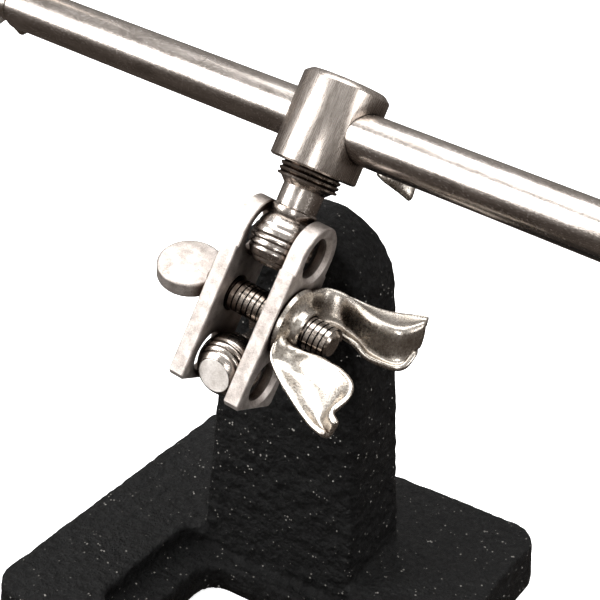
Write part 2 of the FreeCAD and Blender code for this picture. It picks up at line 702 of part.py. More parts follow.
def build_clip(side):
    """Spring clip: barrel and lower jaw in one pressing, upper jaw, pivot pin and spring."""
    frame = clip_frame(side)
    start = size("clip_barrel_start")
    length = size("clip_length")
    pivot = size("clip_pivot_reach")
    depth = size("clip_depth")
    wall = size("clip_wall")
    half = size("clip_width") / 2
    barrel_end = start + size("clip_barrel_length")
    mouth = pivot + 4.0

    lower_side = [Vector(0, -depth, barrel_end - 1.5), Vector(0, 0.6, barrel_end - 1.5),
                  Vector(0, 1.6, pivot - 2.2), Vector(0, 1.6, pivot + 1.8)]
    lower_side += teeth(-1, mouth, length)
    lower_side += [Vector(0, -1.6, length), Vector(0, -depth, mouth + 2)]
    cheeks = channel(lower_side, half, wall, 1, "lower_jaw")
    taper = nose_taper(half, size("clip_nose_width") / 2, mouth, length + 0.01, depth * 3)
    trough = common([cheeks, taper])
    barrel = cylinder("Sizes.clip_barrel_diameter / 2", "Sizes.clip_barrel_length",
                      at(0, 0, start))
    bulkhead = primitive("Box", {"Length": "Sizes.clip_width", "Height": "1.5",
                                 "Width": "Sizes.clip_depth + 0.6"},
                         at(-half, -depth, barrel_end - 1.5))
    bore = cylinder("Sizes.end_neck_diameter / 2 + Sizes.bar_clearance",
                    "Sizes.clip_barrel_length + 2", at(0, 0, start - 1))
    pin_hole = cylinder("Sizes.pin_diameter / 2", "Sizes.clip_width * 2",
                        along_x(-size("clip_width"), 0, pivot))
    lower = cut(fuse([trough, barrel, bulkhead]), [bore, pin_hole])
    finish_node(lower, "clip_lower_jaw_" + side, frame)

    inner_half = half - wall - size("clip_side_clearance")
    rise = size("clip_tab_rise")
    upper_side = [Vector(0, depth, pivot + 1), Vector(0, rise, start + 2),
                  Vector(0, rise - 1.4, start + 1.6), Vector(0, depth - 0.2, pivot - 5),
                  Vector(0, -1.5, pivot - 1.5), Vector(0, -1.5, pivot + 1.5)]
    upper_side += teeth(1, mouth, length)
    upper_side += [Vector(0, 1.6, length), Vector(0, depth - 0.2, mouth + 2)]
    cover = channel(upper_side, inner_half, wall, -1, "upper_jaw")
    inner_nose = size("clip_nose_width") / 2
    plan = nose_taper(inner_half, inner_nose, mouth + 6, length + 0.01, depth * 3)
    upper_hole = cylinder("Sizes.pin_diameter / 2 + Sizes.pin_clearance",
                          "Sizes.clip_width * 2", along_x(-size("clip_width"), 0, pivot))
    upper = cut(common([cover, plan]), [upper_hole])
    finish_node(upper, "clip_upper_jaw_" + side, frame)

    pin = cylinder("Sizes.pin_diameter / 2", "Sizes.clip_width + 0.8",
                   along_x(-half - 0.4, 0, pivot))
    finish_node(pin, "clip_pin_" + side, frame)

    coil_width = 2 * (inner_half - wall) - 0.4
    coil = cylinder("Sizes.spring_coil_diameter / 2", str(coil_width),
                    along_x(-coil_width / 2, 0, pivot))
    eye = cylinder("Sizes.spring_coil_diameter / 2 - Sizes.spring_wire", str(coil_width + 2),
                   along_x(-coil_width / 2 - 1, 0, pivot))
    finish_node(cut(coil, [eye]), "clip_spring_" + side, frame)


def build_clip_stud(side):
    """Ball stud that plugs into the clip's barrel."""
    knob = ball("Sizes.end_ball_diameter", "Sizes.end_ball_flat_diameter", Vector(0, 0, -1))
    shank = cylinder("Sizes.end_neck_diameter / 2", "Sizes.clip_stud_length")
    return finish_node(fuse([knob, shank]), "clip_ball_stud_" + side, clip_frame(side))


# ---------------------------------------------------------------- the whole stand

build_base_casting()
build_lower_stud()
build_clamp({"left": "clamp_plate_left", "right": "clamp_plate_right",
             "bolt": "clamp_bolt", "nut": "clamp_wing_nut"},
            clamp_frame, "", "ball_diameter", "seat_hole_diameter", "ball_spacing",
            size("rest_paddle_turn"), size("rest_wing_turn"))
build_stem()
build_head()
build_lock_screw()
build_bar()
for side in ("left", "right"):
    build_end_ball(side)
    names = {"left": "end_plate_front_" + side, "right": "end_plate_back_" + side,
             "bolt": "end_bolt_" + side, "nut": "end_wing_nut_" + side}
    build_clamp(names, end_clamp_frame(side), "end_", "end_ball_diameter",
                "end_seat_hole_diameter", "end_ball_spacing",
                size("rest_end_paddle_turn"), size("rest_end_wing_turn"))
    build_clip_stud(side)
    build_clip(side)

doc.recompute()
for thing in doc.Objects:
    if "Invalid" in thing.State or "Error" in thing.State:
        raise RuntimeError("failed: %s %s" % (thing.Name, thing.Label))
os.makedirs("parts", exist_ok=True)
for label, solid in nodes.items():
    shape = solid.Shape
    if shape.isNull() or not shape.isValid() or len(shape.Solids) != 1:
        raise RuntimeError("bad shape: %s, %d solids" % (label, len(shape.Solids)))
for label, solid in nodes.items():
    solid.Shape.exportStep("parts/%s.step" % label)
print(len(nodes), "nodes")
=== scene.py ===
"""Looks of the bench third-hand stand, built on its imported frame, in metres."""

import json
import math

import bmesh
import bpy
from mathutils import Matrix, Vector, noise


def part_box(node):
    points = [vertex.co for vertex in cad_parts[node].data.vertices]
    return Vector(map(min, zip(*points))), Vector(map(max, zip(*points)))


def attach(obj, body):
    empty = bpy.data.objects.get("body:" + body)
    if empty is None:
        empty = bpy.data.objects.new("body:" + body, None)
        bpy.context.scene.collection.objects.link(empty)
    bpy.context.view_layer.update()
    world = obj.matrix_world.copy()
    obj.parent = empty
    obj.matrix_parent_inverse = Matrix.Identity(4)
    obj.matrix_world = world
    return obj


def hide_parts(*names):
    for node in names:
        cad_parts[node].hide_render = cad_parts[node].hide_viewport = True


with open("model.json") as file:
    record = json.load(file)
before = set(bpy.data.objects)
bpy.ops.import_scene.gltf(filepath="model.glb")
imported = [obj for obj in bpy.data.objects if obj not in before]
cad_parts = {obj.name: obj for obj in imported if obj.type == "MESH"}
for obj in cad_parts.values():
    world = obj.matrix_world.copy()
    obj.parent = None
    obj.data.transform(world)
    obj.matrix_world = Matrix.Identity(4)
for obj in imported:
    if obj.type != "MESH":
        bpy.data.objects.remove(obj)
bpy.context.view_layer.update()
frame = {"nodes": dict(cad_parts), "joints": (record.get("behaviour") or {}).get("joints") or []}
joints = {joint["name"]: joint for joint in frame["joints"]}


# ---------------------------------------------------------------- base casting
# One grey iron sand casting: a drafted plate with a sunk tray and a window, and a
# round-topped column. Shaken out, shot-blasted lightly, then brushed with matt black paint.

def colour(hex_text):
    """A colour given as sRGB hex, as linear RGBA."""
    channels = [int(hex_text[start:start + 2], 16) / 255 for start in (1, 3, 5)]
    linear = [c / 12.92 if c <= 0.04045 else ((c + 0.055) / 1.055) ** 2.4 for c in channels]
    return (*linear, 1.0)


def add_node(tree, kind, inputs=None, **settings):
    """A node with its settings; an input is given a value, or a socket to link from."""
    node = tree.nodes.new(kind)
    for name, value in settings.items():
        setattr(node, name, value)
    for name, value in (inputs or {}).items():
        if isinstance(value, bpy.types.NodeSocket):
            tree.links.new(value, node.inputs[name])
        else:
            node.inputs[name].default_value = value
    return node


def blank_material(name):
    """A new material, its tree and its shader, with nothing linked but the output."""
    material = bpy.data.materials.new(name)
    material.use_nodes = True
    return material, material.node_tree, material.node_tree.nodes["Principled BSDF"]


def per_mm(size_mm):
    """Texture scale, on coordinates in metres, that gives features of this size."""
    return 1000.0 / size_mm


def ramp(tree, factor, stops):
    """A colour ramp from (position, hex) stops."""
    node = add_node(tree, "ShaderNodeValToRGB", {"Fac": factor})
    elements = node.color_ramp.elements
    while len(elements) < len(stops):
        elements.new(0.5)
    for element, (position, hex_text) in zip(elements, stops):
        element.position = position
        element.color = colour(hex_text)
    return node.outputs["Color"]


def make_cast_paint():
    """Matt black paint on a sand skin: a gritty dark surface with a few pale specks painted in as
    glints.
    """
    material, tree, shader = blank_material("sand_cast_iron_matt_black_paint")
    place = add_node(tree, "ShaderNodeTexCoord").outputs["Object"]
    grit = add_node(tree, "ShaderNodeTexNoise", {
        "Vector": place, "Scale": per_mm(0.8), "Detail": 6.0, "Roughness": 0.7})
    lumps = add_node(tree, "ShaderNodeTexNoise", {
        "Vector": place, "Scale": per_mm(2.2), "Detail": 3.0})
    specks = add_node(tree, "ShaderNodeTexVoronoi", {
        "Vector": place, "Scale": per_mm(0.55), "Randomness": 1.0})
    patches = add_node(tree, "ShaderNodeTexNoise", {
        "Vector": place, "Scale": per_mm(1.1), "Detail": 1.0})
    reach = add_node(tree, "ShaderNodeMapRange", {
        "Value": patches.outputs["Fac"], "From Min": 0.50, "From Max": 0.72,
        "To Min": 0.0, "To Max": 0.26})
    # Painted highlights: sparse pale specks in the colour stand in for glints on the grit.
    painted_glint_mask = add_node(tree, "ShaderNodeMath", {
        0: specks.outputs["Distance"], 1: reach.outputs["Result"]}, operation="LESS_THAN")
    paint = ramp(tree, grit.outputs["Fac"],
                 [(0.38, "#010101"), (0.55, "#050505"), (0.70, "#181817")])
    paint_with_painted_glints = add_node(tree, "ShaderNodeMix", {
        "Factor": painted_glint_mask.outputs[0], 6: paint, 7: colour("#8f8c87")}, data_type="RGBA")
    tree.links.new(paint_with_painted_glints.outputs[2], shader.inputs["Base Color"])
    sheen = add_node(tree, "ShaderNodeMapRange", {
        "Value": grit.outputs["Fac"], "From Min": 0.3, "From Max": 0.7,
        "To Min": 0.75, "To Max": 0.34})
    shader.inputs["Specular IOR Level"].default_value = 0.26
    tree.links.new(sheen.outputs["Result"], shader.inputs["Roughness"])
    coarse = add_node(tree, "ShaderNodeBump", {
        "Height": lumps.outputs["Fac"], "Strength": 1.0, "Distance": 0.0016})
    fine = add_node(tree, "ShaderNodeBump", {
        "Height": grit.outputs["Fac"], "Normal": coarse.outputs["Normal"],
        "Strength": 1.0, "Distance": 0.0006})
    tree.links.new(fine.outputs["Normal"], shader.inputs["Normal"])
    return material


def merged_copy(node_name):
    """The CAD node's mesh as a new object with its doubles merged."""
    mesh = frame["nodes"][node_name].data.copy()
    mesh.materials.clear()
    shape = bmesh.new()
    shape.from_mesh(mesh)
    bmesh.ops.remove_doubles(shape, verts=shape.verts, dist=1e-6)
    shape.to_mesh(mesh)
    shape.free()
    return mesh


def solved_mesh(holder):
    """The holder's mesh with its modifiers applied; the holder is removed."""
    depsgraph = bpy.context.evaluated_depsgraph_get()
    mesh = bpy.data.meshes.new_from_object(holder.evaluated_get(depsgraph))
    bpy.data.objects.remove(holder)
    return mesh


def show(name, mesh, material, body, replaced, smooth_degrees=35):
    """Put a finished mesh in the scene as a piece that rides on a body."""
    mesh.materials.clear()
    mesh.materials.append(material)
    mesh.shade_smooth()
    if smooth_degrees is not None:
        mesh.set_sharp_from_angle(angle=math.radians(smooth_degrees))
    piece = bpy.data.objects.new(name, mesh)
    bpy.context.scene.collection.objects.link(piece)
    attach(piece, body)
    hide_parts(replaced)
    return piece


# Metres, steps and millimetres: the remesh that runs fillets into the corners, then the sand
# skin's swells, as (height, width).
CAST_VOXEL = 0.0004
CAST_SMOOTHING_STEPS = 10
BROAD_SWELL = (0.14, 2.5)
SHORT_SWELL = (0.12, 1.1)
skin = bpy.data.objects.new("casting_skin", merged_copy("base_casting"))
bpy.context.scene.collection.objects.link(skin)
remesh = skin.modifiers.new("remesh", "REMESH")
remesh.mode = "VOXEL"
remesh.voxel_size = CAST_VOXEL
soften = skin.modifiers.new("soften", "SMOOTH")
soften.factor = 0.5
soften.iterations = CAST_SMOOTHING_STEPS
casting_mesh = solved_mesh(skin)
normals = [vertex.normal.copy() for vertex in casting_mesh.vertices]
spots = []
for vertex, normal in zip(casting_mesh.vertices, normals):
    spot = vertex.co * 1000
    swell = (BROAD_SWELL[0] * noise.noise(spot / BROAD_SWELL[1])
             + SHORT_SWELL[0] * noise.noise(spot / SHORT_SWELL[1]))
    if spot.z > 0.5:
        spot += normal * swell
    elif spot.z < 0.3:
        spot.z = 0.0
    spots.extend(spot * 0.001)
casting_mesh.vertices.foreach_set("co", spots)
casting_mesh.update()
show("painted_casting", casting_mesh, make_cast_paint(), "stand", "base_casting", None)


# ---------------------------------------------------------------- lower ball stud
# Free-cutting steel, turned in one piece: ball with a flatted end, neck, hexagonal
# shoulder and an M4 shank that a nut and a washer hold behind the column. Nickel plated.

def joint_point(name):
    """Where a joint stands, in millimetres."""
    return Vector(joints[name]["pos_m"]) * 1000


def joint_axis(name):
    return Vector(joints[name]["axis"]).normalized()


def local_frame(origin, x_axis, up):
    """A placement whose X is the axis and whose Z is as near to 'up' as it can be."""
    x_axis = x_axis.normalized()
    y_axis = up.cross(x_axis).normalized()
    z_axis = x_axis.cross(y_axis)
    turn = Matrix((x_axis, y_axis, z_axis)).transposed().to_4x4()
    return Matrix.Translation(origin) @ turn


def settle(shape, place):
    """A bmesh made in local millimetres, as a mesh in its place in metres."""
    shape.transform(Matrix.Scale(0.001, 4) @ place)
    bmesh.ops.recalc_face_normals(shape, faces=shape.faces)
    mesh = bpy.data.meshes.new("piece")
    shape.to_mesh(mesh)
    shape.free()
    return mesh


def spun(profile, steps=72, closed=False, radius_at=None):
    """Turned work along +X from (along, radius) points; radius 0 closes an end."""
    shape = bmesh.new()
    rings = []
    for along, radius in profile:
        if radius < 1e-6:
            rings.append([shape.verts.new((along, 0, 0))])
            continue
        ring = []
        for step in range(steps):
            angle = 2 * math.pi * step / steps
            reach = radius_at(along, radius, angle) if radius_at else radius
            ring.append(shape.verts.new((along, -reach * math.sin(angle),
                                         reach * math.cos(angle))))
        rings.append(ring)
    pairs = list(zip(rings, rings[1:]))
    if closed:
        pairs.append((rings[-1], rings[0]))
    for first, second in pairs:
        for step in range(steps):
            after = (step + 1) % steps
            corners = []
            for ring, index in ((first, step), (first, after), (second, after), (second, step)):
                corner = ring[index % len(ring)]
                if corner not in corners:
                    corners.append(corner)
            if len(corners) > 2:
                shape.faces.new(corners)
    return shape


def ball_profile(radius, flat_radius, neck_radius, grooves):
    """From the flat on the free end (negative X) round the ball to the neck."""
    start = math.asin(flat_radius / radius)
    end = math.pi - math.asin(neck_radius / radius)
    points = [(-radius * math.cos(start), 0), (-radius * math.cos(start), flat_radius - 0.12)]
    steps = 48
    for step in range(steps + 1):
        angle = start + (end - start) * step / steps
        depth = 0.0
        for centre, half_width, deep in grooves:
            away = abs(math.degrees(angle) - centre) / half_width
            depth += deep * max(0.0, 1 - away)
        points.append((-(radius - depth) * math.cos(angle), (radius - depth) * math.sin(angle)))
    return points


def make_nickel(name, dark, light, roughness, grain_mm, relief, place=None, stretch=(1, 1, 1),
                metallic=1.0):
    """Nickel plate on steel, with painted brown shade in its hollows; 'stretch' draws the grain
    out along the piece's own axes.
    """
    material, tree, shader = blank_material(name)
    shader.inputs["Metallic"].default_value = metallic
    vector = add_node(tree, "ShaderNodeTexCoord").outputs["Object"]
    if place is not None:
        back = place.to_3x3().inverted().to_euler("XYZ")
        vector = add_node(tree, "ShaderNodeMapping", {
            "Vector": vector, "Rotation": back}).outputs["Vector"]
    vector = add_node(tree, "ShaderNodeMapping", {
        "Vector": vector, "Scale": stretch}).outputs["Vector"]
    grain = add_node(tree, "ShaderNodeTexNoise", {
        "Vector": vector, "Scale": per_mm(grain_mm), "Detail": 4.0, "Roughness": 0.65})
    cloud = add_node(tree, "ShaderNodeTexNoise", {
        "Vector": vector, "Scale": per_mm(grain_mm * 9), "Detail": 2.0})
    both = add_node(tree, "ShaderNodeMath", {
        0: grain.outputs["Fac"], 1: cloud.outputs["Fac"]}, operation="ADD")
    spread = add_node(tree, "ShaderNodeMapRange", {
        "Value": both.outputs[0], "From Min": 0.65, "From Max": 1.35})
    # Painted shade: ambient occlusion darkens and browns the plate's colour in hollows, creases
    # and between parts.
    shade = add_node(tree, "ShaderNodeAmbientOcclusion", {"Distance": 0.005})
    painted_hollow_shade = ramp(tree, shade.outputs["AO"], [(0.30, "#5a4a3e"), (0.85, "#ffffff")])
    plated = ramp(tree, spread.outputs["Result"], [(0.0, dark), (1.0, light)])
    plate_with_painted_shade = add_node(tree, "ShaderNodeMix", {0: 1.0, 6: plated, 7: painted_hollow_shade}, data_type="RGBA",
                    blend_type="MULTIPLY")
    tree.links.new(plate_with_painted_shade.outputs[2], shader.inputs["Base Color"])
    blur = add_node(tree, "ShaderNodeMapRange", {
        "Value": grain.outputs["Fac"], "From Min": 0.3, "From Max": 0.7,
        "To Min": roughness * 0.75, "To Max": roughness * 1.3})
    tree.links.new(blur.outputs["Result"], shader.inputs["Roughness"])
    bump = add_node(tree, "ShaderNodeBump", {
        "Height": grain.outputs["Fac"], "Strength": relief, "Distance": 0.00005})
    tree.links.new(bump.outputs["Normal"], shader.inputs["Normal"])
    return material


def hexagon_radius(flats, chamfer_start, length):
    """Radius rule of a hexagon whose corners are turned off at 30 degrees at both ends."""
    def radius_at(along, radius, angle):
        corner = flats / 2 / math.cos((angle % (math.pi / 3)) - math.pi / 6)
        end_distance = min(along, length - along)
        return min(corner * radius, chamfer_start + end_distance * 1.732)
    return radius_at


BALL_RADIUS = 3.8
BALL_FLAT_RADIUS = 2.2
STUD_NECK_RADIUS = 2.0
STUD_REACH = 12.6
SHOULDER_LENGTH = 3.0
SHOULDER_FLATS = 8.0
NUT_FLATS = 7.0
lower_ball = joint_point("clamp_lean")
stud_frame = local_frame(lower_ball, Vector((0, 1, 0)), Vector((0, 0, 1)))
# Nickel over lathe work: bright, with soft long highlights that the grooves break up.
turned_nickel = make_nickel("turned_nickel_plate", "#a89e94", "#e6ded7", 0.22, 0.25, 0.25)
lower_grooves = [(52, 4, 0.16), (63, 4, 0.20), (74, 4, 0.16), (98, 3, 0.10)]
stud_profile = ball_profile(BALL_RADIUS, BALL_FLAT_RADIUS, STUD_NECK_RADIUS,
                            lower_grooves) + [
    (STUD_REACH - 3.4, STUD_NECK_RADIUS), (STUD_REACH - 3.4, 3.4), (STUD_REACH - 3.2, 3.7)]
washer_low, washer_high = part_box("stud_washer")
nut_low, nut_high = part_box("stud_nut")
stud_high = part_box("lower_ball_stud")[1]
washer_start = washer_low.y * 1000 - lower_ball.y
nut_start = nut_low.y * 1000 - lower_ball.y
stud_end = stud_high.y * 1000 - lower_ball.y
stud_profile += [(STUD_REACH - 0.3, 3.7), (STUD_REACH - 0.3, 2.0), (stud_end - 0.5, 1.9),
                 (stud_end, 1.5), (stud_end, 0)]
show("turned_ball_stud", settle(spun(stud_profile), stud_frame), turned_nickel,
     "stud", "lower_ball_stud")
# Nickel over a sawn end: pale and grainy, it scatters what falls on it.
sawn_nickel = make_nickel("sawn_grainy_nickel_face", "#b5aca4", "#f4efea", 0.5, 0.2, 0.8,
                          metallic=0.45)
flat_face = spun([(0, 0), (0, 2.05), (0.06, 2.12), (0.3, 2.12), (0.3, 0)], 48)
flat_reach = math.sqrt(BALL_RADIUS ** 2 - BALL_FLAT_RADIUS ** 2) + 0.04
flat_place = stud_frame @ Matrix.Translation((-flat_reach, 0, 0))
show("sawn_ball_end", settle(flat_face, flat_place), sawn_nickel, "stud", "lower_ball_stud", 30)
shoulder = spun([(0, 0), (0, 1), (0.35, 1), (0.7, 1), (2.3, 1), (2.65, 1), (3, 1), (3, 0)],
                steps=96, radius_at=hexagon_radius(SHOULDER_FLATS, 3.8, SHOULDER_LENGTH))
hex_shoulder = settle(shoulder, stud_frame @ Matrix.Translation((STUD_REACH - 3.3, 0, 0)))
show("hex_shoulder", hex_shoulder, turned_nickel, "stud", "lower_ball_stud", 25)

# The nut and the washer are stock zinc-plated hardware, drawn up tight and never moved.
# Zinc plate: cooler and bluer than the nickel round it.
zinc_plate = make_nickel("bright_zinc_plate", "#9aa0a6", "#d5dade", 0.28, 0.5, 0.2)
washer_thickness = (washer_high.y - washer_low.y) * 1000
washer_ring = spun([(0, 2.05), (0, 4.3), (0.15, 4.5), (washer_thickness - 0.1, 4.5),
                    (washer_thickness, 4.4), (washer_thickness, 2.05)], closed=True)
show("plain_washer", settle(washer_ring, stud_frame @ Matrix.Translation((washer_start, 0, 0))),
     zinc_plate, "stud", "stud_washer")
nut_length = (nut_high.y - nut_low.y) * 1000
nut_rings = [(0, 1), (0.3, 1), (0.6, 1), (nut_length - 0.6, 1), (nut_length - 0.3, 1),
             (nut_length, 1)]
nut_shell = spun(nut_rings, steps=96, radius_at=hexagon_radius(NUT_FLATS, 3.25, nut_length))
inner = [(nut_length, 2.4), (nut_length - 0.4, 2.02), (0.4, 2.02), (0, 2.4)]


def join_loops(shape, first, second):
    """Close a shape between two open rings with the same number of points."""
    for index in range(len(first)):
        after = (index + 1) % len(first)
        shape.faces.new((first[index], first[after], second[after], second[index]))


def drilled(shape, ring_count, steps, bore):
    """Join the last ring of a shell to its first through a bore of (along, radius) rings."""
    shape.verts.ensure_lookup_table()
    first_ring = [shape.verts[index] for index in range(steps)]
    start = (ring_count - 1) * steps
    last_ring = [shape.verts[index] for index in range(start, start + steps)]
    previous = last_ring
    for along, radius in bore:
        ring = []
        for step in range(steps):
            angle = 2 * math.pi * step / steps
            ring.append(shape.verts.new((along, -radius * math.sin(angle),
                                         radius * math.cos(angle))))
        join_loops(shape, previous, ring)
        previous = ring
    join_loops(shape, previous, first_ring)
    return shape


show("stud_hex_nut", settle(drilled(nut_shell, len(nut_rings), 96, inner),
                            stud_frame @ Matrix.Translation((nut_start, 0, 0))),
     zinc_plate, "stud", "stud_nut", 25)


# ---------------------------------------------------------------- main clamp plates
# Two stampings of 2 mm steel: a round ear above square shoulders, a wider square-footed
# web, a ball hole at each end and a bolt hole between. Tumbled, then nickel plated dull.

def inset(points, distance):
    """A closed outline moved inwards by a small distance; points run anticlockwise."""
    moved = []
    for index, (y, z) in enumerate(points):
        before = points[index - 1]
        after = points[(index + 1) % len(points)]
        run = Vector((after[0] - before[0], after[1] - before[1])).normalized()
        moved.append((y - run.y * distance, z + run.x * distance))
    return moved


def circle(radius, z, steps=48, phase=0.0):
    points = []
    for step in range(steps):
        angle = phase + 2 * math.pi * step / steps
        points.append((radius * math.cos(angle), z + radius * math.sin(angle)))
    return points


def stamped_plate(outline, holes, thickness, edge, countersink):
    """A flat plate across X from an outline, with holes of (z, radius, sink)."""
    shape = bmesh.new()
    rim_pairs = {}
    loops = [(outline, edge, 0.0)]
    for z, radius, sink in holes:
        loops.append((circle(radius, z), -max(sink, edge), countersink if sink > edge else edge))
    for number, (points, ease, depth) in enumerate(loops):
        depth = depth or edge
        levels = [(0.0, ease), (depth, 0.0), (thickness - depth, 0.0), (thickness, ease)]
        rings = []
        for x, moved in levels:
            ring = [shape.verts.new((x, y, z)) for y, z in inset(points, moved)]
            rings.append(ring)
        for first, second in zip(rings, rings[1:]):
            join_loops(shape, first, second)
        rim_pairs[number] = (rings[0], rings[-1])
    for end in (0, 1):
        edges = []
        for rings in rim_pairs.values():
            ring = rings[end]
            for index in range(len(ring)):
                edges.append(shape.edges.get((ring[index - 1], ring[index])))
        bmesh.ops.triangle_fill(shape, use_beauty=True, edges=edges)
    return shape


def clamp_outline(ear_radius, web_width, web_setback, foot, spacing):
    """A round ear above square shoulders over a wider square-footed web, anticlockwise in
    (Y, Z)."""
    half = web_width / 2
    shoulder = spacing - web_setback
    nick = 0.5
    points = [(-half, shoulder - 0.05), (-half, spacing / 2), (-half, nick - foot),
              (nick - half, -foot), (half - nick, -foot), (half, nick - foot),
              (half, spacing / 2), (half, shoulder - 0.05), (half - 0.05, shoulder),
              (ear_radius + 0.05, shoulder), (ear_radius, shoulder + 0.1)]
    for step in range(33):
        angle = math.pi * step / 32
        points.append((ear_radius * math.cos(angle), spacing + ear_radius * math.sin(angle)))
    points += [(-ear_radius, shoulder + 0.1), (-ear_radius - 0.05, shoulder),
               (0.05 - half, shoulder)]
    return points


SEAT_GAP = 0.08
SEAT_HOLE_RADIUS = 2.5


def plate_reach(ball_radius, hole_radius):
    """From the clamp's middle plane to the inner face of a plate that holds the ball."""
    return math.sqrt(ball_radius ** 2 - hole_radius ** 2) + SEAT_GAP


# Dull nickel over tumbled steel: a pale, faintly clouded metal with broad highlights.
tumbled_nickel = make_nickel("tumbled_dull_nickel_plate", "#9b8f87", "#f3ebe5", 0.36, 0.14, 1.2,
                             metallic=0.92)
upper_ball = joint_point("stem_lean")
bolt_axis = joint_axis("clamp_lean")
ball_spacing = (upper_ball - lower_ball).length
clamp_frame = local_frame(lower_ball, bolt_axis, upper_ball - lower_ball)
PLATE_THICKNESS = 2.0
plate_inner = plate_reach(BALL_RADIUS, SEAT_HOLE_RADIUS)
plate_outline = clamp_outline(4.0, 8.7, 2.0, 3.3, ball_spacing)
plate_holes = [(0.0, SEAT_HOLE_RADIUS, 0.5), (ball_spacing, SEAT_HOLE_RADIUS, 0.5),
               (ball_spacing / 2, 2.15, 0.1)]
for side_name, start in (("left", -plate_inner - PLATE_THICKNESS), ("right", plate_inner)):
    plate = stamped_plate(plate_outline, plate_holes, PLATE_THICKNESS, 0.13, 0.5)
    show("stamped_plate_" + side_name,
         settle(plate, clamp_frame @ Matrix.Translation((start, 0, 0))),
         tumbled_nickel, "clamp", "clamp_plate_" + side_name, 28)


# ---------------------------------------------------------------- clamp bolt
# An M4 bolt whose head was flattened into a round paddle to hold; the thread is rolled,
# 0.7 mm from crest to crest, and bright on its crests.

def build_helix_tree():
    """A bar of any section wound on a helix: thread ridges and coiled wire."""
    tree = bpy.data.node_groups.new("wound_section", "GeometryNodeTree")
    sockets = {}
    for name, kind in (("Pitch", "NodeSocketFloat"), ("Turns", "NodeSocketFloat"),
                       ("Radius", "NodeSocketFloat"), ("Section Radius", "NodeSocketFloat"),
                       ("Section Sides", "NodeSocketInt"), ("Material", "NodeSocketMaterial")):
        socket = tree.interface.new_socket(name, in_out="INPUT", socket_type=kind)
        sockets[name] = socket.identifier
    tree.interface.new_socket("Geometry", in_out="OUTPUT", socket_type="NodeSocketGeometry")
    given = add_node(tree, "NodeGroupInput").outputs
    height = add_node(tree, "ShaderNodeMath", {0: given["Pitch"], 1: given["Turns"]},
                      operation="MULTIPLY")
    path = add_node(tree, "GeometryNodeCurveSpiral", {
        "Resolution": 32, "Rotations": given["Turns"], "Start Radius": given["Radius"],
        "End Radius": given["Radius"], "Height": height.outputs[0]})
    upright = add_node(tree, "GeometryNodeSetCurveNormal", {"Curve": path.outputs["Curve"]},
                       mode="Z_UP")
    section = add_node(tree, "GeometryNodeCurvePrimitiveCircle", {
        "Resolution": given["Section Sides"], "Radius": given["Section Radius"]})
    wound = add_node(tree, "GeometryNodeCurveToMesh", {
        "Curve": upright.outputs["Curve"], "Profile Curve": section.outputs["Curve"],
        "Fill Caps": True})
    real = add_node(tree, "GeometryNodeRealizeInstances", {"Geometry": wound.outputs["Mesh"]})
    painted = add_node(tree, "GeometryNodeSetMaterial", {
        "Geometry": real.outputs["Geometry"], "Material": given["Material"]})
    add_node(tree, "NodeGroupOutput", {"Geometry": painted.outputs["Geometry"]})
    return tree, sockets


helix_tree, helix_sockets = build_helix_tree()


def wound(pitch, turns, radius, section_radius, sides, material, place):
    """A mesh in place from the helix tree; sizes in millimetres, wound up along local X."""
    holder = bpy.data.objects.new("wound", bpy.data.meshes.new("wound"))
    bpy.context.scene.collection.objects.link(holder)
    modifier = holder.modifiers.new("wound", "NODES")
    modifier.node_group = helix_tree
    values = {"Pitch": pitch, "Turns": turns, "Radius": radius,
              "Section Radius": section_radius, "Section Sides": sides, "Material": material}
    for name, value in values.items():
        modifier[helix_sockets[name]] = value
    mesh = solved_mesh(holder)
    up_to_x = Matrix.Rotation(math.radians(90), 4, "Y")
    mesh.transform(Matrix.Scale(0.001, 4) @ place @ up_to_x)
    return mesh


def rolled_thread(name, place, start, length, radius, pitch, material, body, replaced):
    """Thread ridges that stand on a plain core, from start along local X."""
    mesh = wound(pitch, length / pitch, radius - pitch * 0.25, pitch * 0.42, 3, material,
                 place @ Matrix.Translation((start, 0, 0)))
    return show(name, mesh, material, body, replaced, 20)


def paddle_mesh(radius, half):
    """A round flat paddle with softly rounded rims."""
    soft = 0.45
    rim = []
    for step in range(7):
        angle = math.pi / 2 * step / 6
        rim.append((-half + soft * (1 - math.cos(angle)), radius - soft * (1 - math.sin(angle))))
    profile = [(-half, 0), (-half, radius * 0.5)] + rim
    profile += [(-along, width) for along, width in rim[::-1]] + [(half, radius * 0.5), (half, 0)]
    return spun(profile, 64)


# Thin nickel over a rolled thread: bright crests, with painted brown shade between them.
thread_nickel = make_nickel("rolled_thread_nickel", "#8c7f73", "#e0d6cd", 0.2, 0.3, 0.15)
BOLT_RADIUS = 2.0
BOLT_PITCH = 0.7
PADDLE_RADIUS = 4.0
PADDLE_HALF = 1.1
PADDLE_NECK = 1.0
PADDLE_TURN = math.radians(36)
plate_outer = plate_inner + PLATE_THICKNESS
paddle_sit = math.sqrt(PADDLE_RADIUS ** 2 - BOLT_RADIUS ** 2)
paddle_centre = -plate_outer - SEAT_GAP - PADDLE_NECK - paddle_sit
bolt_frame = clamp_frame @ Matrix.Translation((0, 0, ball_spacing / 2))
paddle_turn = Matrix.Rotation(PADDLE_TURN, 4, "X") @ Matrix.Rotation(
    math.radians(-90), 4, "Y")
disc = paddle_mesh(PADDLE_RADIUS, PADDLE_HALF)
show("bolt_paddle", settle(disc, bolt_frame @ Matrix.Translation((paddle_centre, 0, 0))
                           @ paddle_turn), tumbled_nickel, "clamp", "clamp_bolt", 50)
shank = [(paddle_centre + 2.6, 0), (paddle_centre + 2.6, 1.0), (-plate_outer - 0.6, 2.3),
         (-plate_outer - 0.1, 2.5), (-plate_outer - SEAT_GAP, 1.72), (10.5, 1.72), (10.8, 1.4),
         (10.8, 0)]
